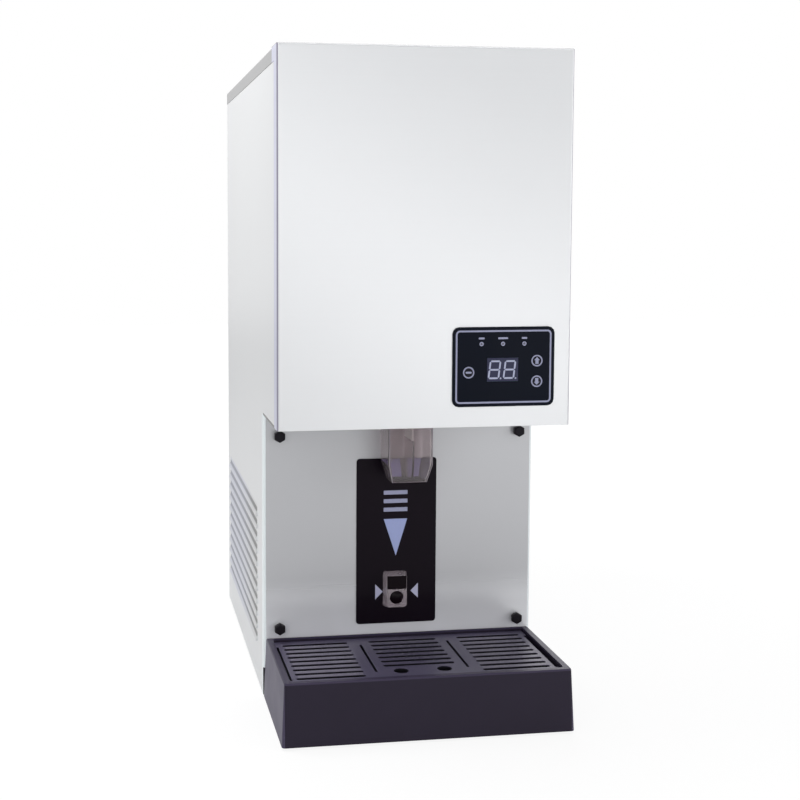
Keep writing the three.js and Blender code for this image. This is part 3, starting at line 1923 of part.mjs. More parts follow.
function condenser() {
  const x0 = -condenserX;
  const x1 = x0 + condenserThick;
  const pitch = (condenserRear - condenserFrontY - 2 * condenserPlate) / finCount;
  const comb = [];
  for (let i = 0; i < finCount; i++) {
    const y = condenserFrontY + condenserPlate + i * pitch;
    comb.push([x0, y], [x0, y + pitch / 2], [x0 + finDepth, y + pitch / 2], [x0 + finDepth, y + pitch]);
  }
  const front = condenserFrontY + condenserPlate;
  const rear = condenserRear - condenserPlate;
  const core = [...comb, [x1, rear], [x1, front]];
  const ends = [condenserFrontY, rear].map((y) =>
    block(x0 - overrun, x1 + overrun, y, y + condenserPlate, condenserBottom, condenserTop),
  );
  return join(fromAbove(outline(core), condenserBottom, condenserTop), ends);
}

// Fan: shroud with its ring, bladed wheel, and the motor on three arms

function fanShroud() {
  const x1 = -shroudX + shroudThick;
  const plate = rect(condenserFrontY, condenserRear, condenserBottom, condenserTop);
  const hole = circle(condenserMidY, condenserMidZ, fanRadius + fanTip);
  const ring = circle(condenserMidY, condenserMidZ, fanRadius + fanTip + shroudThick);
  return join(
    fromSide(plate, -shroudX, x1, [hole]),
    fromSide(ring, -shroudX, -shroudX + fanRing, [hole]),
  );
}

function fanBlade() {
  const start = -shroudX - shroudThick;
  const centre = [start, condenserMidY, condenserMidZ];
  const hub = turned(
    [
      [0, 0],
      [fanHubRadius - fanTip, 0],
      [fanHubRadius, fanTip],
      [fanHubRadius, fanHubLength],
      [fanShaftRadius + seat, fanHubLength],
      [fanShaftRadius + seat, fanTip],
      [0, fanTip],
    ],
    centre,
    X,
    smallSides,
  );
  const pitch = THREE.MathUtils.degToRad(fanBladePitch);
  const tipHalf = fanBladeChord / 2;
  const rootHalf = tipHalf / 2;
  const middle = start + fanHubLength / 2;
  const section = (angle, radius, half) => {
    const radial = new THREE.Vector3(0, Math.cos(angle), Math.sin(angle));
    const around = new THREE.Vector3(0, -Math.sin(angle), Math.cos(angle));
    const chord = around.clone().multiplyScalar(Math.cos(pitch)).addScaledVector(X, Math.sin(pitch));
    const normal = X.clone().multiplyScalar(Math.cos(pitch)).addScaledVector(around, -Math.sin(pitch));
    const hold = Math.min(half, (fanHubLength / 2 - fanBladeThick) / Math.sin(pitch));
    return [
      [-hold, -fanBladeThick / 2],
      [hold, -fanBladeThick / 2],
      [hold, fanBladeThick / 2],
      [-hold, fanBladeThick / 2],
    ].map(([along, off]) =>
      new THREE.Vector3(middle, condenserMidY, condenserMidZ)
        .addScaledVector(radial, Math.sqrt(radius ** 2 - along ** 2 * Math.cos(pitch) ** 2))
        .addScaledVector(chord, along)
        .addScaledVector(normal, off),
    );
  };
  const blades = Array.from({ length: fanBlades }, (_, i) => {
    const angle = (i / fanBlades) * 2 * Math.PI;
    return loft([
      section(angle, fanHubRadius - fanTip, rootHalf),
      section(angle, (fanHubRadius + fanRadius) / 2, (rootHalf + tipHalf) / 2),
      section(angle, fanRadius, tipHalf),
    ]);
  });
  return join(hub, blades);
}

function fanMotor() {
  const bodyStart = -shroudX - shroudThick + fanHubLength + running * 2;
  const centre = (x) => [x, condenserMidY, condenserMidZ];
  const ringInner = fanRadius + fanTip;
  const armEnd = ringInner + shroudThick;
  const armX = -shroudX + fanRing + seat;
  const arms = Array.from({ length: fanArmCount }, (_, i) => {
    const turn = (i / fanArmCount) * 2 * Math.PI + Math.PI / 2;
    const along = new THREE.Vector2(Math.cos(turn), Math.sin(turn));
    const across = new THREE.Vector2(-along.y, along.x);
    const at = (reach, side) => {
      const spot = new THREE.Vector2(condenserMidY, condenserMidZ);
      spot.addScaledVector(along, reach).addScaledVector(across, (side * fanArmWidth) / 2);
      return [spot.x, spot.y];
    };
    return fromSide(
      outline([at(0, -1), at(armEnd, -1), at(armEnd, 1), at(0, 1)]),
      armX,
      armX + fanArmThick,
    );
  });
  return join(
    rod(centre(bodyStart), centre(bodyStart + fanMotorLength), fanMotorRadius, roundSides),
    rod(centre(bodyStart - fanShaftReach), centre(bodyStart + overrun), fanShaftRadius, pipeSides),
    arms,
  );
}

// Refrigerant circuit

const condenserInner = -condenserX + condenserThick;
const drierX = condenserInner + drierRadius + drierCone;
const drierY = condenserRear + drierRadius + drierCone;

function dischargePipe() {
  const startX = compressorX - compressorRadius - seat;
  const z = condenserTop - drierRadius;
  const lowZ = panFloor + grommetHeight + compressorPlateThick + compressorSeamRise / 2;
  const endX = -condenserX + condenserThick / 2;
  const endY = condenserRear + seat;
  const stub = pipeRadius * 4;
  return tube(
    [
      [startX, compressorY, lowZ],
      [startX - stub, compressorY, lowZ],
      [startX - stub * 2, (compressorY + endY) / 2, (lowZ + z) / 2],
      [endX + stub * 3, endY + stub, z],
      [endX + stub, endY + stub, z],
      [endX, endY + stub / 2, z],
      [endX, endY, z],
    ],
    pipeRadius,
    pipeSteps,
  );
}

function filterDrier() {
  const bottom = condenserBottom + drierLength / 2;
  const top = bottom + drierLength;
  const shell = turned(
    [
      [0, bottom],
      [thinPipeRadius + seat, bottom],
      [drierRadius, bottom + drierCone],
      [drierRadius, top - drierCone],
      [thinPipeRadius + seat, top],
      [0, top],
    ],
    [drierX, drierY, 0],
    Z,
    smallSides,
  );
  const endX = -condenserX + condenserThick / 2;
  const lead = tube(
    [
      [drierX, drierY, bottom + overrun],
      [drierX, drierY, bottom - drierCone],
      [(drierX + endX) / 2, drierY, bottom - drierCone * 2],
      [endX, drierY - drierCone / 2, bottom - drierCone * 2],
      [endX, condenserRear + seat, bottom - drierCone * 2],
    ],
    thinPipeRadius,
    smallSides,
  );
  return join(shell, lead);
}

function suctionPipe() {
  const topZ = barrelTop - barrelFlange - jacketInset - barrelFlange;
  const lowZ = panFloor + grommetHeight + compressorPlateThick + compressorSeamRise + compressorDome / 2;
  const startY = unitY + jacketRadius + seat;
  const stub = pipeRadius * 4;
  return tube(
    [
      [unitX, startY, topZ],
      [unitX, startY + stub, topZ],
      [(unitX + suctionX) / 2, suctionY - stub / 2, topZ - stub],
      [suctionX, suctionY, topZ - stub * 4],
      [suctionX, suctionY, deckTop + stub],
      [suctionX, suctionY, deckBottom - stub],
      [suctionX, (suctionY + compressorY) / 2, lowZ + stub],
      [compressorX - compressorRadius - stub, compressorY, lowZ],
      [compressorX - compressorRadius + compressorSeam - seat, compressorY, lowZ],
    ],
    pipeRadius,
    longPipeSteps,
  );
}

// Fittings on the back

const powerFace = headDepth + seat + powerBezel;
const rockerPivotY = powerFace - rockerPivotInset;
const switchZ = powerZ + powerHeight / 2 + switchRise;
const powerTop = switchZ + switchHeight / 2;
const powerBottom = powerZ - powerHeight / 2;

// Power inlet and switch housing, one moulding
function powerInlet() {
  const plan = (grow, radius = 0) =>
    rect(
      powerX - powerWidth / 2 - grow,
      powerX + powerWidth / 2 + grow,
      powerBottom - grow,
      powerTop + grow,
      radius,
    );
  const cavity = outline([
    [powerX - powerCavityWidth / 2, powerZ - powerCavityHeight / 2],
    [powerX + powerCavityWidth / 2, powerZ - powerCavityHeight / 2],
    [powerX + powerCavityWidth / 2, powerZ + powerCavityHeight / 2, powerCavityHeight / 4],
    [powerX - powerCavityWidth / 2, powerZ + powerCavityHeight / 2, powerCavityHeight / 4],
  ]);
  const cavityFloor = powerFace - powerCavityDepth;
  const blades = [-1, 0, 1].map((step) => {
    const x = powerX + (step * powerPinPitch) / 2;
    const z = powerZ + (step === 0 ? powerPinRise : -powerPinRise / 2);
    return block(
      x - powerPinThick / 2,
      x + powerPinThick / 2,
      cavityFloor - overrun,
      powerFace - overrun,
      z - powerPinWidth / 2,
      z + powerPinWidth / 2,
    );
  });
  const well = rect(
    powerX - rockerWidth / 2 - running,
    powerX + rockerWidth / 2 + running,
    switchZ - rockerHeight / 2 - running * 2,
    switchZ + rockerHeight / 2 + running * 2,
  );
  const pinHalf = rockerWidth / 2 + running + overrun;
  const housing = cut(
    join(
      fromFront(plan(powerFlange, powerFlange), headDepth + seat, powerFace),
      fromFront(plan(0), headDepth - powerDepth, headDepth + powerBezel),
    ),
    fromFront(cavity, cavityFloor, powerFace + overrun),
    fromFront(well, rockerPivotY - rockerPivotInset * 2, powerFace + overrun),
    rod(
      [powerX - pinHalf, rockerPivotY, switchZ],
      [powerX + pinHalf, rockerPivotY, switchZ],
      rockerPinRadius + seat,
    ),
  );
  return join(housing, blades);
}

// Rocker: two faces that meet in a shallow V, on a pin
function rocker() {
  const half = rockerHeight / 2;
  const dip = half * Math.tan(THREE.MathUtils.degToRad(rockerTilt));
  const root = rockerPivotY - rockerPinRadius;
  const profile = outline([
    [root, switchZ - half / 2],
    [powerFace + rockerProud - dip, switchZ - half],
    [powerFace + rockerProud - dip, switchZ],
    [powerFace + rockerProud, switchZ + half],
    [root, switchZ + half / 2],
  ]);
  const pinHalf = rockerWidth / 2 + running + overrun / 2;
  return join(
    fromSide(profile, powerX - rockerWidth / 2, powerX + rockerWidth / 2),
    rod(
      [powerX - pinHalf, rockerPivotY, switchZ],
      [powerX + pinHalf, rockerPivotY, switchZ],
      rockerPinRadius,
    ),
  );
}

function drainFitting() {
  const nutFace = headDepth + seat;
  return cut(
    join(
      fromFront(hexagon(drainX, drainZ, drainNutAcross), nutFace, nutFace + drainNut),
      fromFront(
        hexagon(drainX, drainZ, drainNutAcross),
        rearInner - seat - drainNut,
        rearInner - seat,
      ),
      rod([drainX, rearInner - drainNut * 2, drainZ], [drainX, rearmost, drainZ], drainRadius),
    ),
    rod(
      [drainX, rearInner - drainNut * 2 - overrun, drainZ],
      [drainX, rearmost + overrun, drainZ],
      drainBore,
    ),
  );
}

// The assembly

footPlaces.forEach(([name, x, y]) => piece(name, foot(x, y), blackRubber));
piece('base_pan', basePan(), blackSteel);
const leftPanel = piece('left_side_panel', sidePanel(), coatedSteel);
mirrorImage(leftPanel, 'right_side_panel');
piece('front_panel', frontPanel(), coatedSteel);
piece('top_cover', topCover(), steel);
piece('rear_panel', rearPanel(), innerSteel);
piece('head_floor', headFloor(), innerSteel);
piece('splash_panel', splashPanel(), satinSteel);
knobPlaces.forEach(([name, x, z]) => piece(name, panelKnob(x, z), blackPlastic));
piece('label_plate', labelPlate(), glossBlack);
piece('sensor_block', sensorBlock(), clearPlastic);
piece('ice_chute', iceChute(), clearPlastic);
piece('drip_tray', dripTray(), blackPlastic);
piece('drip_grille', dripGrille(), greyPlastic);
piece('control_bezel', controlBezel(), glossBlack);
piece('display_window', displayWindow(), glossBlack);
keyPlaces.forEach(([name, x, z]) => piece(name, key(x, z), glossBlack));
lensPlaces.forEach(([name, x]) => piece(name, indicatorLens(x), paleLens));
piece('control_board', controlBoard(), boardGreen);
piece('bin_cradle', binCradle(), innerSteel);
piece('storage_bin', storageBin(), foamWhite);
piece('bin_lid', binLid(), foamWhite);
piece('agitator', agitator(), stainless);
piece('agitator_gearmotor', agitatorGearmotor(), motorGrey);
piece('chute_neck', chuteNeck(), whitePlastic);
piece('ice_flap', iceFlap(), stainless);
piece('solenoid_plunger', solenoidPlunger(), stainless);
piece('flap_solenoid', flapSolenoid(), motorGrey);
piece('middle_deck', middleDeck(), innerSteel);
piece('auger_gearmotor', augerGearmotor(), motorGrey);
piece('freezing_cylinder', freezingCylinder(), foamWhite);
piece('freezer_auger', freezerAuger(), stainless);
piece('extruder_head', extruderHead(), stainless);
piece('ice_spout', iceSpout(), whitePlastic);
piece('water_reservoir', waterReservoir(), whitePlastic);
piece('water_inlet', waterInlet(), whitePlastic);
piece('float_arm', floatArm(), whitePlastic);
piece('feed_hose', feedHose(), clearPlastic);
piece('compressor', compressor(), enamelBlack);
piece('condenser', condenser(), finAluminium);
piece('fan_shroud', fanShroud(), blackSteel);
piece('fan_blade', fanBlade(), blackPlastic);
piece('fan_motor', fanMotor(), motorGrey);
piece('discharge_pipe', dischargePipe(), copper);
piece('suction_pipe', suctionPipe(), copper);
piece('filter_drier', filterDrier(), copper);
piece('power_inlet', powerInlet(), blackPlastic);
piece('switch_rocker', rocker(), blackPlastic);
piece('drain_fitting', drainFitting(), whitePlastic);

// The origin is on the counter, under the middle of the whole machine
iceMaker.position.y = -(frontmost + rearmost) / 2;

export default iceMaker;
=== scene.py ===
"""Looks of the countertop ice maker: camera, light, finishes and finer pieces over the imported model.

Places on the machine are written in millimetres from the middle of the head's face at counter level,
as in the part's own source, and at() turns them into metres in the model's frame.
"""

import json
import math

import bmesh
import bpy
from mathutils import Matrix, Quaternion, Vector


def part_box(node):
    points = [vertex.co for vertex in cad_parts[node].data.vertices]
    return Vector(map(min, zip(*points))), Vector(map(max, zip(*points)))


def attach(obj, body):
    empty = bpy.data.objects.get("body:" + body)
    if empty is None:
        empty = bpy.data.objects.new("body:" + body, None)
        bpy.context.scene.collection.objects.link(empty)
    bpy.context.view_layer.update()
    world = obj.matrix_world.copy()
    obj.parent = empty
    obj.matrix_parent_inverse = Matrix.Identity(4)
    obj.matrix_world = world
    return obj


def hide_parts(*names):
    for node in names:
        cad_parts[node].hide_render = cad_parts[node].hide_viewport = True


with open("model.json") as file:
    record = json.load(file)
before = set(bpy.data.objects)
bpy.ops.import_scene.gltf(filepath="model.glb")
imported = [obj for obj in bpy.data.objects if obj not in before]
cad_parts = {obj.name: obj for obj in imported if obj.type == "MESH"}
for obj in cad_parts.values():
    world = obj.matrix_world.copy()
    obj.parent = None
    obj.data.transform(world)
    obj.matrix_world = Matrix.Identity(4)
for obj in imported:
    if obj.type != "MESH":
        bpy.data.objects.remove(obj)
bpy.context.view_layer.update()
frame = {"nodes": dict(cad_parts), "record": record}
nodes = frame["nodes"]
record = frame["record"]

MM = 0.001
HEAD_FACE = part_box("front_panel")[0].y
BODY_OF = {node: body for body, group in record["behaviour"]["bodies"].items() for node in group}
SLOT_OF = {part["node"]: part["material_slot"] for part in record["subparts"]}
SIDES = (-1, 1)


def at(x, y, z):
    return Vector((x * MM, y * MM + HEAD_FACE, z * MM))


class Place:
    """The box round a node, in the part's own millimetres."""

    def __init__(self, node):
        low, high = ((corner - Vector((0, HEAD_FACE, 0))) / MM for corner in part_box(node))
        self.low, self.high = low, high
        self.x, self.y, self.z = (low + high) / 2
        self.width, self.depth, self.height = high - low


# Camera and light

CAMERA_PLACE = (-371.6, -1495.4, 602.7)
CAMERA_TURN = math.radians(8.913)
CAMERA_TILT = math.radians(-4.683)
CAMERA_ROLL = math.radians(0.041)
PICTURE = 800
FOCAL_PIXELS = 1324.8
OPTICAL_CENTRE = (310, 331)
SENSOR = 36


def make_camera():
    data = bpy.data.cameras.new("camera")
    camera = bpy.data.objects.new("camera", data)
    bpy.context.scene.collection.objects.link(camera)
    forward = Vector(
        (
            math.sin(CAMERA_TURN) * math.cos(CAMERA_TILT),
            math.cos(CAMERA_TURN) * math.cos(CAMERA_TILT),
            math.sin(CAMERA_TILT),
        )
    )
    level = Vector((math.cos(CAMERA_TURN), -math.sin(CAMERA_TURN), 0))
    up = level.cross(forward)
    right = level * math.cos(CAMERA_ROLL) + up * math.sin(CAMERA_ROLL)
    top = up * math.cos(CAMERA_ROLL) - level * math.sin(CAMERA_ROLL)
    turn = Matrix((right, top, -forward)).transposed()
    camera.matrix_world = Matrix.Translation(at(*CAMERA_PLACE)) @ turn.to_4x4()
    data.sensor_width = SENSOR
    data.lens = FOCAL_PIXELS / PICTURE * SENSOR
    data.shift_x = (PICTURE / 2 - OPTICAL_CENTRE[0]) / PICTURE
    data.shift_y = -(PICTURE / 2 - OPTICAL_CENTRE[1]) / PICTURE
    data.clip_start, data.clip_end = 0.01, 100
    bpy.context.scene.camera = camera


def area_light(name, place, aim, size, power, lean):
    """A rectangular lamp at place in metres, aimed at a point and leaning by some degrees."""
    data = bpy.data.lights.new(name, "AREA")
    data.shape = "RECTANGLE"
    data.size, data.size_y = size
    data.energy = power
    lamp = bpy.data.objects.new(name, data)
    lamp.location = Vector(place)
    aimed = (Vector(aim) - lamp.location).to_track_quat("-Z", "Y")
    lamp.rotation_euler = (aimed @ Quaternion((0, 0, 1), math.radians(lean))).to_euler()
    lamp.visible_camera = False
    bpy.context.scene.collection.objects.link(lamp)


# Shader maths written as Python expressions


class Value:
    """A number that varies over a surface: each operator adds one Math node."""

    def __init__(self, finish, socket):
        self.finish = finish
        self.socket = socket

    def _new(self, operation, first, second):
        made = self.finish.node("ShaderNodeMath", {"operation": operation}, {0: first, 1: second})
        return Value(self.finish, made.outputs[0])

    def __add__(self, other):
        return self._new("ADD", self, other)

    __radd__ = __add__

    def __sub__(self, other):
        return self._new("SUBTRACT", self, other)

    def __rsub__(self, other):
        return self._new("SUBTRACT", other, self)

    def __mul__(self, other):
        return self._new("MULTIPLY", self, other)

    __rmul__ = __mul__

    def __mod__(self, other):
        return self._new("FLOORED_MODULO", self, other)

    def __gt__(self, other):
        return self._new("GREATER_THAN", self, other)

    def __lt__(self, other):
        return self._new("LESS_THAN", self, other)


class Nodes:
    """A node tree whose nodes are all made by node(): settings first, then the sockets."""

    def __init__(self, tree):
        self.tree = tree
        tree.nodes.clear()

    def node(self, kind, settings=None, inputs=None):
        made = self.tree.nodes.new(kind)
        for name, value in (settings or {}).items():
            if name == "stops":
                self._set_stops(made.color_ramp, value)
            else:
                setattr(made, name, value)
        for name, value in (inputs or {}).items():
            if isinstance(value, Value):
                value = value.socket
            if isinstance(value, bpy.types.NodeSocket):
                self.tree.links.new(value, made.inputs[name])
            else:
                made.inputs[name].default_value = value
        return made

    @staticmethod
    def _set_stops(ramp, stops):
        ramp.interpolation = "EASE"
        while len(ramp.elements) < len(stops):
            ramp.elements.new(0.5)
        for element, (place, shade) in zip(ramp.elements, stops):
            element.position = place
            element.color = (shade, shade, shade, 1)


class Finish(Nodes):
    """One material and the node tree behind it."""

    def __init__(self, name):
        self.material = bpy.data.materials.new(name)
        self.material.use_nodes = True
        super().__init__(self.material.node_tree)
        self.place = self.node("ShaderNodeTexCoord").outputs["Object"]

    def noise(self, scale, detail=2.0, stretch=None, roughness=0.5):
        vector = self.place
        if stretch:
            scaled = self.node("ShaderNodeMapping", {}, {"Vector": vector, "Scale": stretch})
            vector = scaled.outputs["Vector"]
        made = self.node(
            "ShaderNodeTexNoise",
            {},
            {"Vector": vector, "Scale": scale, "Detail": detail, "Roughness": roughness},
        )
        return Value(self, made.outputs["Fac"])

    def cells(self, scale, feature="F1"):
        made = self.node(
            "ShaderNodeTexVoronoi", {"feature": feature}, {"Vector": self.place, "Scale": scale}
        )
        return Value(self, made.outputs["Distance"])

    def ramp(self, value, stops):
        made = self.node("ShaderNodeValToRGB", {"stops": stops}, {"Fac": value})
        return Value(self, made.outputs["Color"])

    def axis(self, name):
        made = self.node("ShaderNodeSeparateXYZ", {}, {"Vector": self.place})
        return Value(self, made.outputs[name])

    def distance(self):
        """How far a place is from the object's origin."""
        made = self.node("ShaderNodeVectorMath", {"operation": "LENGTH"}, {0: self.place})
        return Value(self, made.outputs["Value"])

    def blend(self, factor, first, second):
        made = self.node(
            "ShaderNodeMix",
            {"data_type": "RGBA"},
            {0: factor, 6: opaque(first), 7: opaque(second)},
        )
        return made.outputs[2]

    def bump(self, height, depth):
        made = self.node(
            "ShaderNodeBump", {}, {"Height": height, "Strength": 1.0, "Distance": depth}
        )
        return made.outputs["Normal"]

    def surface(self, inputs):
        shader = self.node("ShaderNodeBsdfPrincipled", {}, inputs)
        self.node("ShaderNodeOutputMaterial", {}, {"Surface": shader.outputs["BSDF"]})
        return self.material


def opaque(colour):
    return (*colour, 1) if isinstance(colour, tuple) and len(colour) == 3 else colour


def shade(colour, factor):
    return tuple(part * factor for part in colour)


# Finishes


def zoned(finish, colour, zones):
    """Changes a colour inside zones, each a list of (axis, "over" or "under", mm) and a colour.

    X is taken each way, and a function in place of the colour makes it from the finish.
    """
    for limits, inside in zones:
        mask = 1.0
        for axis, side, limit in limits:
            place = finish.axis(axis)
            if axis == "X":
                place, edge = place * place, (limit * MM) ** 2
            else:
                edge = limit * MM + (HEAD_FACE if axis == "Y" else 0)
            mask = (place > edge if side == "over" else place < edge) * mask
        colour = finish.blend(mask, colour, inside(finish) if callable(inside) else inside)
    return colour


def between(axis, ends):
    """A zone's two limits along an axis."""
    return [(axis, "over", ends[0]), (axis, "under", ends[1])]


def louvre_painted_shade(finish):
    """Louvre faces with a soft dark line of painted shade between them, where the sheet under each louvre
    lies in shade, darker and less blue to the front.
    """
    rise = (finish.axis("Z") - LOUVRE_RISE[0] * MM) * (1 / (LOUVRE_PITCH * MM))
    line = finish.ramp(rise % 1.0, ((0, 0), (0.26, 0.1), (0.4, 1), (0.63, 1), (0.73, 0)))
    start = LOUVRE_ENDS[0] * MM + HEAD_FACE
    back = finish.ramp((finish.axis("Y") - start) * (1 / LOUVRE_FADE), ((0, 0), (1, 1)))
    face = finish.blend(back, (0.70, 0.70, 0.71), (0.665, 0.675, 0.755))
    dark = finish.blend(back, (0.12, 0.12, 0.12), (0.24, 0.25, 0.32))
    return finish.blend(line, face, dark)


def brushed_steel(name, colour, roughness, metallic, along=(6, 6, 700), depth=2e-6, mottle=0.03):
    finish = Finish(name)
    strokes = finish.noise(1.0, 3.0, along)
    fine = finish.noise(1.0, 2.0, tuple(part * 3 for part in along))
    cloud = finish.noise(5.0, 2.0)
    tone = strokes * 0.35 + cloud * 0.65
    return finish.surface(
        {
            "Base Color": finish.blend(tone, shade(colour, 1 - mottle), shade(colour, 1 + mottle)),
            "Metallic": metallic,
            "Roughness": strokes * 0.10 + cloud * 0.05 + (roughness - 0.075),
            "Normal": finish.bump(strokes + fine * 0.5, depth),
        }
    )


def painted_steel(name, colour, roughness, peel=4e-6):
    finish = Finish(name)
    skin = finish.noise(420.0, 2.0)
    cloud = finish.noise(7.0, 3.0)
    return finish.surface(
        {
            "Base Color": finish.blend(cloud, shade(colour, 0.96), shade(colour, 1.04)),
            "Metallic": 0.0,
            "Roughness": cloud * 0.12 + (roughness - 0.06),
            "Coat Weight": 0.15,
            "Coat Roughness": 0.12,
            "Normal": finish.bump(skin, peel),
        }
    )


def moulded_plastic(
    name, colour, roughness, grain=900.0, depth=1.2e-5, sheen=1.1, reflection=0.5, zones=()
):
    finish = Finish(name)
    texture = finish.noise(grain, 3.0, roughness=0.6)
    rub = finish.noise(22.0, 4.0)
    flat = finish.blend(rub, shade(colour, 0.9), shade(colour, sheen))
    return finish.surface(
        {
            "Base Color": zoned(finish, flat, zones),
            "Roughness": rub * 0.16 + texture * 0.05 + (roughness - 0.1),
            "Specular IOR Level": reflection,
            "Specular Tint": LILAC,
            "Normal": finish.bump(texture, depth),
        }
    )


def gloss_film(name, colour, roughness, reflection=0.06, coat=0.03):
    finish = Finish(name)
    ripple = finish.noise(60.0, 2.0)
    smear = finish.noise(14.0, 4.0)
    return finish.surface(
        {
            "Base Color": finish.blend(smear, shade(colour, 0.9), shade(colour, 1.15)),
            "Roughness": smear * 0.1 + (roughness - 0.05),
            "Specular IOR Level": reflection,
            "Coat Weight": coat,
            "Coat Roughness": 0.06,
            "Normal": finish.bump(ripple, 4e-6),
        }
    )


def clear_moulding(name, colour, roughness, clearness):
    finish = Finish(name)
    flow = finish.noise(35.0, 3.0, (1, 1, 0.35))
    return finish.surface(
        {
            "Base Color": finish.blend(flow, shade(colour, 0.94), shade(colour, 1.03)),
            "Roughness": flow * 0.08 + (roughness - 0.04),
            "Transmission Weight": clearness,
            "IOR": 1.35,
            "Normal": finish.bump(flow, 5e-5),
        }
    )


def printed_ink(name, colour, glow=0.0):
    finish = Finish(name)
    screen = finish.noise(500.0, 2.0)
    return finish.surface(
        {
            "Base Color": finish.blend(screen, shade(colour, 0.93), shade(colour, 1.04)),
            "Roughness": screen * 0.1 + 0.35,
            "Emission Color": opaque(colour),
            "Emission Strength": glow,
        }
    )


def speckled_foam(name, colour):
    finish = Finish(name)
    beads = finish.cells(260.0)
    cloud = finish.noise(12.0, 3.0)
    return finish.surface(
        {
            "Base Color": finish.blend(cloud, shade(colour, 0.93), shade(colour, 1.03)),
            "Roughness": cloud * 0.15 + 0.55,
            "Normal": finish.bump(beads, 6e-5),
        }
    )


def circuit_board(name, colour):
    finish = Finish(name)
    tracks = finish.cells(300.0, "DISTANCE_TO_EDGE") < 0.12
    grime = finish.noise(40.0, 2.0)
    return finish.surface(
        {
            "Base Color": finish.blend(tracks, colour, shade(colour, 1.9)),
            "Roughness": grime * 0.2 + 0.35,
            "Normal": finish.bump(tracks, 1e-5),
        }
    )


def drawn_copper(name, colour):
    finish = Finish(name)
    tarnish = finish.noise(28.0, 4.0)
    drawn = finish.noise(1.0, 2.0, (500, 500, 20))
    return finish.surface(
        {
            "Base Color": finish.blend(tarnish, colour, shade(colour, 0.6)),
            "Metallic": 1.0,
            "Roughness": tarnish * 0.25 + 0.2,
            "Normal": finish.bump(drawn, 4e-6),
        }
    )


def zoned_sheet(name, colour, zones, roughness=0.34, metallic=0.25):
    finish = Finish(name)
    strokes = finish.noise(1.0, 3.0, (6, 6, 700))
    cloud = finish.noise(5.0, 2.0)
    tone = strokes * 0.35 + cloud * 0.65
    flat = finish.blend(tone, shade(colour, 0.97), shade(colour, 1.03))
    return finish.surface(
        {
            "Base Color": zoned(finish, flat, zones),
            "Metallic": metallic,
            "Roughness": strokes * 0.10 + cloud * 0.05 + (roughness - 0.075),
            "Normal": finish.bump(strokes, 2e-6),
        }
    )


def splash_steel(name, colour, low, high):
    """Satin steel, brighter and glossier at its foot, where the dark tray is mirrored in it; the brighter
    colour there is painted light that offsets the tray's shade.
    """
    finish = Finish(name)
    strokes = finish.noise(1.0, 3.0, (6, 6, 700))
    cloud = finish.noise(5.0, 2.0)
    foot = finish.ramp((finish.axis("Z") - low) * (1 / (high - low)), ((0, 1), (0.5, 0.6), (1, 0)))
    flat = finish.blend(cloud, shade(colour, 0.985), shade(colour, 1.015))
    return finish.surface(
        {
            # painted light: the foot is painted brighter to offset the shade from the tray
            "Base Color": finish.blend(foot, flat, shade(colour, 1.62)),
            "Metallic": foot * -0.08 + 0.2,
            "Roughness": strokes * 0.05 + foot * -0.16 + 0.28,
            "Normal": finish.bump(strokes, 1.5e-6),
        }
    )


# Where the finishes change, in mm

grille = Place("drip_grille")
GRILLE_TOP = grille.high.z
SLOT_SHADE = 0.5  # how far under the grille's top the slots are painted near black, as painted shade
BARS_X = (73, grille.high.x - 12)  # the slots of both side fields, whose bars get a painted highlight
BARS_Y = (grille.low.y + 17, grille.high.y - 14)
TRAY_TOP = Place("drip_tray").high.z
TRAY_RIM, TRAY_END = 2.2, 171.4  # height of the rim painted paler as a highlight, and start of the flared end faces painted lighter as a reflection
UNDERSIDE = Place("head_floor").low.z
PANEL_TOP = Place("front_panel").high.z
RETURN, RETURN_EDGE = 173.7, 5.5  # the front panel's side returns, painted in a darker lilac shade, and the band by their fold, painted darker as the bend's reflection
FOLD_BAND = 150  # end of the side panel's painted highlight band behind its front fold
LIP_END, LIP = 137, 2.5  # end and height of its painted shade along the lower edge at the head
PAN_TOP = Place("base_pan").high.z
FOOT_END = Place("splash_panel").low.y + 6  # end of its painted shade, near black, on the front edge beside the tray
LOUVRE_ENDS, LOUVRE_RISE, LOUVRE_PITCH = (203, 563), (53, 236), 16.7
LOUVRE_FADE = 0.2  # metres, over which the louvres' painted light and shade turn from the front's tone to the back's
SPLASH_FOOT = (0.077, 0.155)  # metres, over which the splash panel's painted bright foot fades upwards

# Colours

LILAC = (0.93, 0.89, 1.0, 1)
COATED = (0.80, 0.81, 0.825)
COVER = (0.39, 0.39, 0.395)
SATIN = (0.555, 0.56, 0.58)
MILL = (0.56, 0.57, 0.58)
TRAY_BLACK = (0.014, 0.010, 0.022)
GRILLE_GREY = (0.085, 0.074, 0.125)
BAR_HIGHLIGHT_GREY = (0.15, 0.135, 0.19)
FILM_BLACK = (0.003, 0.005, 0.012)
LABEL_BLACK = (0.007, 0.004, 0.008)
INK = (0.34, 0.355, 0.52)

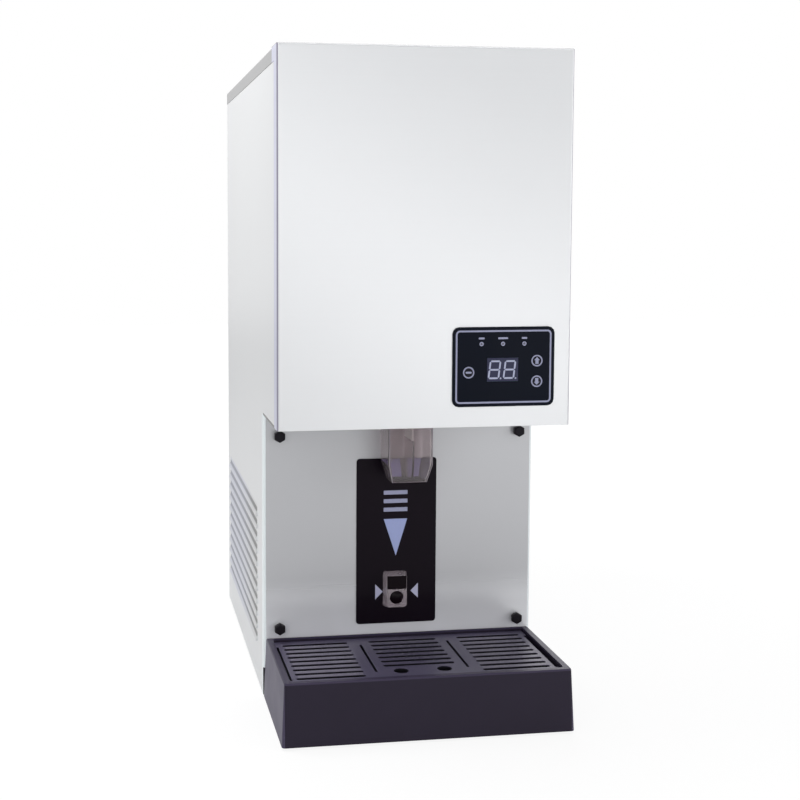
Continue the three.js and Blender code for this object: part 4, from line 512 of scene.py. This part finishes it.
finishes = {
    "coated_steel": brushed_steel("coated_steel", COATED, 0.34, 0.45),
    "cover_steel": brushed_steel("cover_steel", COVER, 0.36, 0.5, (160, 160, 160), 6e-6, 0.12),
    "satin_steel": splash_steel("satin_steel", SATIN, *SPLASH_FOOT),
    "inner_steel": brushed_steel("inner_steel", MILL, 0.42, 0.8, (300, 8, 8)),
    "black_steel": painted_steel("black_steel", (0.02, 0.02, 0.025), 0.42),
    "black_plastic": moulded_plastic("black_plastic", TRAY_BLACK, 0.40, reflection=0.2),
    "grey_plastic": moulded_plastic(
        "grey_plastic",
        GRILLE_GREY,
        0.42,
        1400.0,
        reflection=0.4,
        zones=[
            # painted highlight on the bars between the slots
            (between("Y", BARS_Y) + between("X", BARS_X), BAR_HIGHLIGHT_GREY),
            # painted shade in the slots
            ([("Z", "under", GRILLE_TOP - SLOT_SHADE)], (0.001, 0.001, 0.002)),
        ],
    ),
    "gloss_black": gloss_film("gloss_black", FILM_BLACK, 0.22, 0.03, 0.015),
    "key_plastic": gloss_film("key_plastic", (0.006, 0.006, 0.012), 0.28),
    "clear_plastic": clear_moulding("clear_plastic", (0.80, 0.735, 0.75), 0.07, 0.94),
    "pale_lens": gloss_film("pale_lens", (0.05, 0.05, 0.09), 0.2, 0.5),
    "rubber": moulded_plastic("rubber", (0.015, 0.015, 0.016), 0.75, 500.0),
    "white_plastic": moulded_plastic("white_plastic", (0.72, 0.72, 0.70), 0.45, 700.0, 6e-6, 1.03),
    "foam": speckled_foam("foam", (0.70, 0.72, 0.73)),
    "motor_grey": painted_steel("motor_grey", (0.13, 0.14, 0.16), 0.4),
    "board": circuit_board("board", (0.012, 0.10, 0.035)),
    "stainless": brushed_steel("stainless", (0.62, 0.63, 0.65), 0.25, 1.0, (500, 500, 10)),
    "copper": drawn_copper("copper", (0.72, 0.36, 0.22)),
    "fins": brushed_steel("fins", (0.70, 0.71, 0.72), 0.35, 1.0, (8, 8, 900)),
    "enamel": painted_steel("enamel", (0.012, 0.012, 0.014), 0.25),
}
for name, node in nodes.items():
    node.data.materials.clear()
    node.data.materials.append(finishes[SLOT_OF[name]])

front_sheet = zoned_sheet(
    "front_sheet",
    COATED,
    [
        # painted shade: the side returns darker and lilac
        ([("X", "over", RETURN)], (0.63, 0.64, 0.79)),
        # painted reflection: a dark band by the fold
        ([("X", "over", RETURN), ("Y", "under", RETURN_EDGE)], (0.30, 0.28, 0.37)),
        # painted shade: the top return is painted darker, to the cover's grey, where the top lamp falls
        # on it
        ([("Z", "over", PANEL_TOP - 1)], (0.44, 0.44, 0.45)),
    ],
)
side_sheet = zoned_sheet(
    "side_sheet",
    (0.79, 0.80, 0.81),
    [
        # painted highlight on the band behind the fold
        ([("Y", "under", FOLD_BAND), ("Z", "under", UNDERSIDE)], (0.92, 0.98, 1.0)),
        # painted shade at the lower edge under the head
        ([("Y", "under", LIP_END), ("Z", "under", UNDERSIDE + LIP)], (0.16, 0.15, 0.15)),
        # painted shade on the front edge beside the tray
        ([("Y", "under", FOOT_END), ("Z", "under", PAN_TOP)], (0.010, 0.010, 0.016)),
        # painted shade: dark lines between the louvres
        (between("Y", LOUVRE_ENDS) + between("Z", LOUVRE_RISE), louvre_painted_shade),
    ],
)
tray_black = moulded_plastic(
    "tray_black",
    TRAY_BLACK,
    0.42,
    1400.0,
    reflection=0.25,
    zones=[
        # painted highlight along the rim
        ([("Z", "over", TRAY_TOP - TRAY_RIM)], (0.040, 0.032, 0.062)),
        # painted reflection on the flared end faces
        ([("X", "over", TRAY_END), ("Z", "under", TRAY_TOP - TRAY_RIM)], (0.070, 0.060, 0.105)),
        # painted shade: the inside of the tray under the grille is near black
        (
            [
                ("X", "under", grille.high.x),
                ("Y", "over", grille.low.y),
                ("Z", "under", grille.low.z),
            ],
            (0.002, 0.001, 0.003),
        ),
    ],
)
knob_black = moulded_plastic("knob_black", (0.006, 0.005, 0.007), 0.45, reflection=0.15)
chute_tint = moulded_plastic("chute_tint", (0.21, 0.19, 0.40), 0.5)
chute_highlight = moulded_plastic("chute_highlight", (0.34, 0.30, 0.34), 0.3)
sensor_clear = clear_moulding("sensor_clear", (0.90, 0.80, 0.86), 0.07, 0.74)
label_film = gloss_film("label_film", LABEL_BLACK, 0.30)
display_glass = gloss_film("display_glass", (0.035, 0.038, 0.080), 0.15)
ink = printed_ink("pale_ink", INK)
arrow_ink = printed_ink("arrow_ink", (0.37, 0.43, 0.74))
pointer_ink = printed_ink("pointer_ink", (0.56, 0.57, 0.76))
lit_ink = printed_ink("lit_segments", (0.36, 0.385, 0.53), 0.2)
dark_glass = gloss_film("dark_glass", (0.006, 0.003, 0.005), 0.12, 0.05, 0.02)
bright_screw = brushed_steel("bright_screw", (0.66, 0.66, 0.67), 0.3, 1.0, (300, 300, 300))
pin_brass = drawn_copper("pin_brass", (0.80, 0.68, 0.40))

# Meshes


def link(name, mesh, material=None):
    made = bpy.data.objects.new(name, mesh)
    bpy.context.scene.collection.objects.link(made)
    if material:
        mesh.materials.clear()
        mesh.materials.append(material)
    return made


def baked(piece):
    """Turns a piece's modifiers into a plain mesh."""
    graph = bpy.context.evaluated_depsgraph_get()
    mesh = bpy.data.meshes.new_from_object(
        piece.evaluated_get(graph), preserve_all_data_layers=True, depsgraph=graph
    )
    piece.modifiers.clear()
    piece.data = mesh
    return piece


def smooth(mesh, angle=35):
    mesh.shade_smooth()
    mesh.set_sharp_from_angle(angle=math.radians(angle))


def mesh_from(shape, name, angle=35):
    bmesh.ops.remove_doubles(shape, verts=shape.verts, dist=1e-7)
    bmesh.ops.recalc_face_normals(shape, faces=shape.faces)
    mesh = bpy.data.meshes.new(name)
    shape.to_mesh(mesh)
    shape.free()
    smooth(mesh, angle)
    return mesh


BROAD_FACE = 0.0015  # square metres


def flattened(piece):
    """Gives the corners of each broad face that face's own normal, so that broad sheets shade evenly."""
    mesh = piece.data
    normals = [corner.vector.copy() for corner in mesh.corner_normals]
    for polygon in mesh.polygons:
        if polygon.area > BROAD_FACE:
            for corner in polygon.loop_indices:
                normals[corner] = polygon.normal
    mesh.normals_split_custom_set(normals)


def bevelled(piece, width, segments=2, angle=32):
    bevel = piece.modifiers.new("edges", "BEVEL")
    bevel.width = width * MM
    bevel.segments = segments
    bevel.limit_method = "ANGLE"
    bevel.angle_limit = math.radians(angle)
    bevel.harden_normals = True
    bevel.use_clamp_overlap = False
    bevel.miter_outer = "MITER_ARC"
    flattened(baked(piece))


def softened(node, width, material=None, segments=2):
    """A copy of a CAD node with its edges rounded, shown in the node's place."""
    shape = bmesh.new()
    shape.from_mesh(nodes[node].data)
    bmesh.ops.remove_doubles(shape, verts=shape.verts, dist=2e-6)
    bmesh.ops.dissolve_limit(
        shape,
        angle_limit=math.radians(0.5),
        use_dissolve_boundaries=False,
        verts=shape.verts,
        edges=shape.edges,
        delimit={"NORMAL"},
    )
    mesh = bpy.data.meshes.new(node + "_soft")
    shape.to_mesh(mesh)
    shape.free()
    smooth(mesh)
    piece = link(node + "_soft", mesh, material or finishes[SLOT_OF[node]])
    bevelled(piece, width, segments)
    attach(piece, BODY_OF[node])
    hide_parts(node)


def rounded(x, z, width, height, radius, steps=6):
    """Points of a rounded rectangle about (x, z), anticlockwise."""
    points = []
    corners = ((1, 1, 0), (-1, 1, 90), (-1, -1, 180), (1, -1, 270))
    for across, up, start in corners:
        centre_x = x + across * (width / 2 - radius)
        centre_z = z + up * (height / 2 - radius)
        for step in range(steps + 1):
            angle = math.radians(start + 90 * step / steps)
            points.append(
                (centre_x + radius * math.cos(angle), centre_z + radius * math.sin(angle))
            )
    return points


def ring_points(x, z, radius, count=48):
    return [
        (
            x + radius * math.cos(2 * math.pi * step / count),
            z + radius * math.sin(2 * math.pi * step / count),
        )
        for step in range(count)
    ]


def slab(shape, outer, inner, front, back):
    """Adds a plate between two depths, with one hole if inner is given."""

    def loop(points, y):
        return [shape.verts.new(at(x, y, z)) for x, z in points]

    faces = [(loop(outer, front), loop(outer, back))]
    if inner:
        faces.append((loop(inner, front), loop(inner, back)))
    for near, far in faces:
        for step, vertex in enumerate(near):
            after = (step + 1) % len(near)
            shape.faces.new((vertex, near[after], far[after], far[step]))
    if not inner:
        shape.faces.new(faces[0][0])
        shape.faces.new(faces[0][1])
        return
    for level in (0, 1):
        out, hole = faces[0][level], faces[1][level]
        for step, vertex in enumerate(out):
            after = (step + 1) % len(out)
            shape.faces.new((vertex, out[after], hole[after], hole[step]))


def turned(shape, profile, origin, steps=32):
    """Adds a body of revolution: profile of (radius, rise) in mm about a line from origin to the back."""
    rings = []
    for radius, rise in profile:
        ring = []
        for step in range(steps if radius else 1):
            angle = 2 * math.pi * step / steps
            offset = Vector((radius * math.cos(angle), rise, radius * math.sin(angle)))
            ring.append(shape.verts.new(at(*(Vector(origin) + offset))))
        rings.append(ring)
    for low, high in zip(rings, rings[1:]):
        for step in range(steps):
            after = (step + 1) % steps
            corners = [
                low[step % len(low)],
                low[after % len(low)],
                high[after % len(high)],
                high[step % len(high)],
            ]
            face = list(dict.fromkeys(corners))
            if len(face) > 2:
                shape.faces.new(face)
    for ring in (rings[0], rings[-1]):
        if len(ring) > 2:
            shape.faces.new(ring)


def piece_of(name, mesh, material, body):
    piece = link(name, mesh, material)
    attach(piece, body)


# Geometry Nodes: one shape repeated along a line


ROW_INPUTS = {"Geometry": "Geometry", "Count": "Int", "Step": "Vector", "Finish": "Material"}


def row_tree():
    tree = bpy.data.node_groups.new("repeat_in_a_row", "GeometryNodeTree")
    for name, kind in ROW_INPUTS.items():
        tree.interface.new_socket(name, in_out="INPUT", socket_type="NodeSocket" + kind)
    tree.interface.new_socket("Geometry", in_out="OUTPUT", socket_type="NodeSocketGeometry")
    row = Nodes(tree)
    given = row.node("NodeGroupInput").outputs
    line = row.node("GeometryNodeMeshLine", {}, {"Count": given["Count"], "Offset": given["Step"]})
    copies = row.node(
        "GeometryNodeInstanceOnPoints",
        {},
        {"Points": line.outputs["Mesh"], "Instance": given["Geometry"]},
    )
    solid = row.node(
        "GeometryNodeRealizeInstances", {}, {"Geometry": copies.outputs["Instances"]}
    )
    dress = row.node(
        "GeometryNodeSetMaterial",
        {},
        {"Geometry": solid.outputs["Geometry"], "Material": given["Finish"]},
    )
    row.node("NodeGroupOutput", {}, {"Geometry": dress.outputs["Geometry"]})
    return tree


ROW = row_tree()


def in_rows(name, mesh, material, rows):
    """Repeats a mesh along one or more steps, each (count, (x, y, z) in mm), as one plain mesh."""
    piece = link(name, mesh, material)
    sockets = {item.name: item.identifier for item in ROW.interface.items_tree if item.in_out == "INPUT"}
    for count, step in rows:
        repeat = piece.modifiers.new("row", "NODES")
        repeat.node_group = ROW
        repeat[sockets["Count"]] = count
        repeat[sockets["Step"]] = [part * MM for part in step]
        repeat[sockets["Finish"]] = material
    return baked(piece)


def joined(name, pieces):
    """One object from several plain meshes of the same finish."""
    shape = bmesh.new()
    for piece in pieces:
        shape.from_mesh(piece.data)
    mesh = bpy.data.meshes.new(name)
    shape.to_mesh(mesh)
    shape.free()
    smooth(mesh)
    made = link(name, mesh, pieces[0].data.materials[0])
    for piece in pieces:
        bpy.data.objects.remove(piece)
    return made


# Panels, tray and the other pieces whose edges show

softened("front_panel", 0.35, front_sheet)
softened("top_cover", 0.35)
for side in ("left", "right"):
    nodes[side + "_side_panel"].data.materials[0] = side_sheet
softened("splash_panel", 0.2)
softened("drip_tray", 0.45, tray_black, segments=3)
softened("drip_grille", 0.5, segments=3)
softened("ice_chute", 0.35, segments=3)
softened("sensor_block", 0.45, sensor_clear, segments=3)
softened("label_plate", 0.2, label_film)
softened("control_bezel", 0.25)
softened("display_window", 0.2, display_glass)
for name in ("key_left", "key_up", "key_down"):
    softened(name, 0.2)
for name in ("top_left", "top_right", "bottom_left", "bottom_right"):
    softened("panel_knob_" + name, 0.45, knob_black, segments=3)
softened("power_inlet", 0.4)
softened("switch_rocker", 0.35)
softened("drain_fitting", 0.4)

# Control panel print

bezel = Place("control_bezel")
FACE = bezel.low.y
PRINT = 0.12


def print_piece(name, outlines, face, material, body):
    shape = bmesh.new()
    for outline in outlines:
        outer, inner = outline if isinstance(outline, tuple) else (outline, None)
        slab(shape, outer, inner, face - PRINT, face)
    piece_of(name, mesh_from(shape, name), material, body)


def border_line(inset, radius):
    return rounded(bezel.x, bezel.z, bezel.width - 2 * inset, bezel.height - 2 * inset, radius)


LENS_BARS, LENS_BAR_RISE, BAR_HEIGHT = (7, 12, 6.5), 6.6, 2.2
lenses = [Place("indicator_lens_" + name) for name in ("left", "middle", "right")]
marks = [(border_line(3.9, 5), border_line(5.9, 3))]
for lens, width in zip(lenses, LENS_BARS):
    marks.append(rounded(lens.x, lens.z + LENS_BAR_RISE, width, BAR_HEIGHT, 0.9))
print_piece("bezel_print", marks, FACE, ink, "cabinet")
lens_rings = [
    (ring_points(lens.x, lens.z, 2.5), ring_points(lens.x, lens.z, 1.45)) for lens in lenses
]
print_piece("lens_rings", lens_rings, FACE, ink, "cabinet")


def key_print(node, sign):
    place = Place(node)
    x, z = place.x, place.z
    ring = (ring_points(x, z, 6.85), ring_points(x, z, 5.35))
    if sign == 0:
        mark = rounded(x, z, 7.2, BAR_HEIGHT, 1.0)
    else:
        arrow = [(0, 4.2), (-3.5, 0.6), (-1.9, 0.6), (-1.9, -3.8), (1.9, -3.8), (1.9, 0.6), (3.5, 0.6)]
        mark = [(x + across, z + sign * up) for across, up in arrow]
    print_piece(node + "_print", [ring, mark], FACE, ink, BODY_OF[node])


key_print("key_left", 0)
key_print("key_up", 1)
key_print("key_down", -1)

# Two seven-segment digits, leaning to the right

DIGIT_WIDTH, DIGIT_HEIGHT, STROKE, LEAN = 14.0, 22.0, 2.0, 0.12
DIGIT_CENTRES = (-10.0, 8.2)
display = Place("display_window")


def lit(shape, centre_x, corners):
    points = [(centre_x + x + LEAN * z, display.z + z) for x, z in corners]
    slab(shape, points, None, FACE - PRINT, FACE)


def bar_between(x0, z0, x1, z1):
    """A six-cornered stroke from one place to another."""
    gap, half = 0.35, STROKE / 2
    if z0 == z1:
        return [
            (x0 + gap, z0),
            (x0 + gap + half, z0 - half),
            (x1 - gap - half, z0 - half),
            (x1 - gap, z0),
            (x1 - gap - half, z0 + half),
            (x0 + gap + half, z0 + half),
        ]
    return [
        (x0, z0 + gap),
        (x0 + half, z0 + gap + half),
        (x0 + half, z1 - gap - half),
        (x0, z1 - gap),
        (x0 - half, z1 - gap - half),
        (x0 - half, z0 + gap + half),
    ]


digits = bmesh.new()
half_x = (DIGIT_WIDTH - STROKE) / 2
half_z = (DIGIT_HEIGHT - STROKE) / 2
for centre in DIGIT_CENTRES:
    centre_x = display.x + centre
    for z in (-half_z, 0, half_z):
        lit(digits, centre_x, bar_between(-half_x, z, half_x, z))
    for x in (-half_x, half_x):
        lit(digits, centre_x, bar_between(x, -half_z, x, 0))
        lit(digits, centre_x, bar_between(x, 0, x, half_z))
    lit(digits, centre_x, ring_points(half_x + 2.7, -half_z - 0.2, 1.0, 16))
piece_of("display_digits", mesh_from(digits, "display_digits"), lit_ink, "cabinet")

# Label plate print: bars over an arrowhead, and two pointers at the sensor

label = Place("label_plate")
sensor = Place("sensor_block")
MARKS_X, POINTERS_X = label.x - 1.2, label.x + 0.8
BAR_SIZE, BAR_PITCH, LOWEST_BAR = (31, 5.2), 11, label.low.z + 147.7
ARROW_HALF, ARROW_TOP, ARROW_TIP = 15.3, label.low.z + 135.6, label.low.z + 87.8
POINTER_OUT, POINTER_IN, POINTER_HALF, POINTER_Z = 28, 18.2, 9.8, label.low.z + 41.3
bar = bmesh.new()
slab(bar, rounded(MARKS_X, LOWEST_BAR, *BAR_SIZE, 0.6, 3), None, label.low.y - PRINT, label.low.y)
bars = in_rows("label_bars", mesh_from(bar, "label_bars"), ink, [(3, (0, 0, BAR_PITCH))])
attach(bars, "cabinet")
arrowhead = [
    (MARKS_X - ARROW_HALF, ARROW_TOP),
    (MARKS_X + 0.6, ARROW_TIP),
    (MARKS_X + ARROW_HALF, ARROW_TOP),
]
pointers = [
    [
        (POINTERS_X + side * POINTER_OUT, POINTER_Z + POINTER_HALF),
        (POINTERS_X + side * POINTER_OUT, POINTER_Z - POINTER_HALF),
        (POINTERS_X + side * POINTER_IN, POINTER_Z),
    ]
    for side in SIDES
]
print_piece("label_arrowhead", [arrowhead], label.low.y, arrow_ink, "cabinet")
print_piece("label_pointers", pointers, label.low.y, pointer_ink, "cabinet")

# Sensor block: lens in the round eye, and a dark pane in the window, painted shade for the dark inside
# seen through the clear block

eye = bmesh.new()
turned(
    eye,
    [(0, -2.4), (3.8, -2.0), (6.4, -0.9), (8.1, 0.4), (8.6, 0.4), (8.6, 0.9), (0, 0.9)],
    (sensor.x, sensor.low.y + 2.9, sensor.low.z + 14.5),
)
piece_of("sensor_eye", mesh_from(eye, "sensor_eye", 50), dark_glass, "cabinet")
# painted shade: a dark pane for the dark inside of the clear block
pane = bmesh.new()
slab(
    pane,
    rounded(sensor.x, sensor.low.z + 34.4, 25, 17, 0.8),
    None,
    sensor.low.y - 0.15,
    sensor.low.y + 0.5,
)
piece_of("sensor_shade_pane", mesh_from(pane, "sensor_shade_pane"), dark_glass, "cabinet")

# Mains inlet pins

inlet = Place("power_inlet")
pins = bmesh.new()
for across, rise in ((-7, 16), (0, 22), (7, 16)):
    slab(
        pins,
        rounded(inlet.x + across, inlet.low.z + rise, 2.3, 6.3, 0.8),
        None,
        inlet.high.y - 15.8,
        inlet.high.y - 1.5,
    )
piece_of("inlet_pins", mesh_from(pins, "inlet_pins"), pin_brass, "cabinet")

# Chute: tinted panes on the inside of its rear wall, and a painted highlight line along its front edges

MOUTH, NARROWS = Place("ice_chute").low.z, 305.5
MOUTH_FRONT, MOUTH_REAR, CHUTE_FRONT, CHUTE_REAR = 79.5, 117.5, 72, 125
CHUTE_WALL, CHUTE_EDGE, MOUTH_EDGE = 2.5, 26.9, 21.5
MOUTH_SHARE = 0.79  # the mouth's width as a share of the chute's
ROOF = UNDERSIDE - 0.5
EDGE_RADIUS = 0.45


def chute_pane(shape, left, right):
    """A thin plate on the rear wall, which leans back as the chute widens."""
    levels = [
        (MOUTH + 0.4, MOUTH_REAR - CHUTE_WALL, MOUTH_SHARE),
        (NARROWS, CHUTE_REAR - CHUTE_WALL, 1),
    ]
    rings = []
    for z, y, share in levels:
        x0, x1 = left * share, right * share
        corners = ((x0, y - 0.6), (x1, y - 0.6), (x1, y + 0.1), (x0, y + 0.1))
        rings.append([shape.verts.new(at(x, place, z)) for x, place in corners])
    for step in range(4):
        after = (step + 1) % 4
        shape.faces.new((rings[0][step], rings[0][after], rings[1][after], rings[1][step]))
    for ring in rings:
        shape.faces.new(ring)


def bead(name, points, radius):
    """The mesh of a fine round line through points."""
    curve = bpy.data.curves.new(name, "CURVE")
    curve.dimensions = "3D"
    curve.bevel_depth = radius * MM
    curve.bevel_resolution = 1
    curve.use_fill_caps = True
    line = curve.splines.new("POLY")
    line.points.add(len(points) - 1)
    for point, place in zip(line.points, points):
        point.co = (*at(*place), 1)
    path = link(name + "_path", curve)
    graph = bpy.context.evaluated_depsgraph_get()
    mesh = bpy.data.meshes.new_from_object(path.evaluated_get(graph), depsgraph=graph)
    bpy.data.objects.remove(path)
    smooth(mesh, 60)
    return mesh


panes = bmesh.new()
chute_pane(panes, -24.5, -3)
chute_pane(panes, 7, 24.5)
piece_of("chute_panes", mesh_from(panes, "chute_panes"), chute_tint, "cabinet")
# painted highlight: a pale bead along the chute's front edges
left_edge = [
    (-CHUTE_EDGE, CHUTE_FRONT + 0.9, ROOF),
    (-CHUTE_EDGE, CHUTE_FRONT + 0.9, NARROWS),
    (-MOUTH_EDGE, MOUTH_FRONT + 0.8, MOUTH + 0.3),
]
right_edge = [(-x, y, z) for x, y, z in reversed(left_edge)]
edges = bead("chute_edge_line", left_edge + right_edge, EDGE_RADIUS)
piece_of("chute_edge_line", edges, chute_highlight, "cabinet")

# Screws on the back


def screw_mesh(x, y, z):
    """A pan head that faces the back, with a cross recess."""
    shape = bmesh.new()
    turned(
        shape,
        [(0, 0), (3.6, 0), (3.6, 0.5), (3.1, 1.25), (1.9, 1.7), (1.7, 0.9), (0, 0.9)],
        (x, y, z),
        20,
    )
    for width, height in ((3.2, 0.7), (0.7, 3.2)):
        slab(shape, rounded(x, z, width, height, 0.15, 1), None, y + 0.6, y + 1.1)
    return mesh_from(shape, "screw")


BACK = Place("rear_panel").high.y
SCREW_ROWS = (
    # first screw's x and z, then each repeat's count and step
    ("screws_up", -164, 30, [(7, (0, 0, 122)), (2, (328, 0, 0))]),
    ("screws_across", -82, 30, [(3, (82, 0, 0))]),
    ("screws_top", -120, 796, [(3, (120, 0, 0))]),
)
screws = joined(
    "back_screws",
    [in_rows(name, screw_mesh(x, BACK, z), bright_screw, rows) for name, x, z, rows in SCREW_ROWS],
)
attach(screws, "cabinet")

# Floor, lamps and background

FLOOR_SIZE = 6
FLOOR_DROP = 0.0005  # under the feet, so that the two don't share a plane
FLOOR_GLOW = 1.075
SKY_SOFT = 0.25


def make_floor():
    """A white floor that keeps the shadow near the machine and fades into the background further out."""
    shape = bmesh.new()
    bmesh.ops.create_grid(shape, x_segments=1, y_segments=1, size=FLOOR_SIZE)
    mesh = bpy.data.meshes.new("floor")
    shape.to_mesh(mesh)
    shape.free()
    finish = Finish("floor_white")
    path = finish.node("ShaderNodeLightPath").outputs
    mirrored = Value(finish, path["Is Glossy Ray"])
    direct = (
        Value(finish, path["Is Camera Ray"]) + Value(finish, path["Is Transmission Ray"])
    ) > 0.5
    paper = finish.noise(3.0, 2.0)
    colour = finish.blend(paper, (0.86, 0.86, 0.86), (0.88, 0.88, 0.88))
    matte = finish.node("ShaderNodeBsdfDiffuse", {}, {"Color": colour})
    white = opaque((1, 1, 1))
    glow = finish.node("ShaderNodeEmission", {}, {"Color": white, "Strength": FLOOR_GLOW})
    share = finish.ramp(finish.distance() * 0.5, ((0.25, 0.82), (0.8, 1)))
    mix = finish.node(
        "ShaderNodeMixShader",
        {},
        {0: direct * share + mirrored * 0.5, 1: matte.outputs[0], 2: glow.outputs[0]},
    )
    finish.node("ShaderNodeOutputMaterial", {}, {"Surface": mix.outputs[0]})
    floor = link("floor", mesh, finish.material)
    floor.location.z = -FLOOR_DROP


def make_world():
    """White where a camera, mirror or glass ray looks, and a softer light for everything else."""
    world = bpy.data.worlds.new("studio")
    bpy.context.scene.world = world
    world.use_nodes = True
    sky = Nodes(world.node_tree)
    path = sky.node("ShaderNodeLightPath").outputs
    kinds = ("Is Camera Ray", "Is Glossy Ray", "Is Transmission Ray")
    camera, glossy, glass = (Value(sky, path[kind]) for kind in kinds)
    soft = sky.node(
        "ShaderNodeBackground", {}, {"Color": opaque((0.97, 0.98, 1.0)), "Strength": SKY_SOFT}
    )
    white = sky.node("ShaderNodeBackground", {}, {"Color": opaque((1, 1, 1)), "Strength": 1.0})
    mix = sky.node(
        "ShaderNodeMixShader",
        {},
        {0: (camera + glossy + glass) > 0.5, 1: soft.outputs[0], 2: white.outputs[0]},
    )
    sky.node("ShaderNodeOutputWorld", {}, {"Surface": mix.outputs[0]})


LAMPS = (
    # name, place, aim, size, power, lean
    ("key", (-1.2, -2.4, 1.2), (0, -0.1, 0.45), (1.6, 1.6), 12, 0),
    ("band", (0.35, -2.35, 0.5), (0, HEAD_FACE, 0.52), (2.0, 0.4), 5.2, -37),
    ("left", (-0.8, 0.05, 1.4), (-0.18, 0.0, 0.6), (0.6, 0.6), 7, 0),
    ("fill", (2.2, -1.5, 0.9), (0, 0, 0.4), (1.4, 1.4), 11, 0),
    ("low", (1.3, -2.6, 0.35), (0, 0, 0.45), (1.0, 0.6), 2, 0),
    ("top", (0, 0.2, 2.6), (0, 0, 0.4), (1.8, 1.8), 20, 0),
    ("back", (0.6, 2.6, 1.8), (0, 0, 0.4), (1.8, 1.8), 20, 0),
)

make_camera()
make_floor()
make_world()
for lamp in LAMPS:
    area_light(*lamp)
bpy.context.scene.view_settings.view_transform = "Standard"
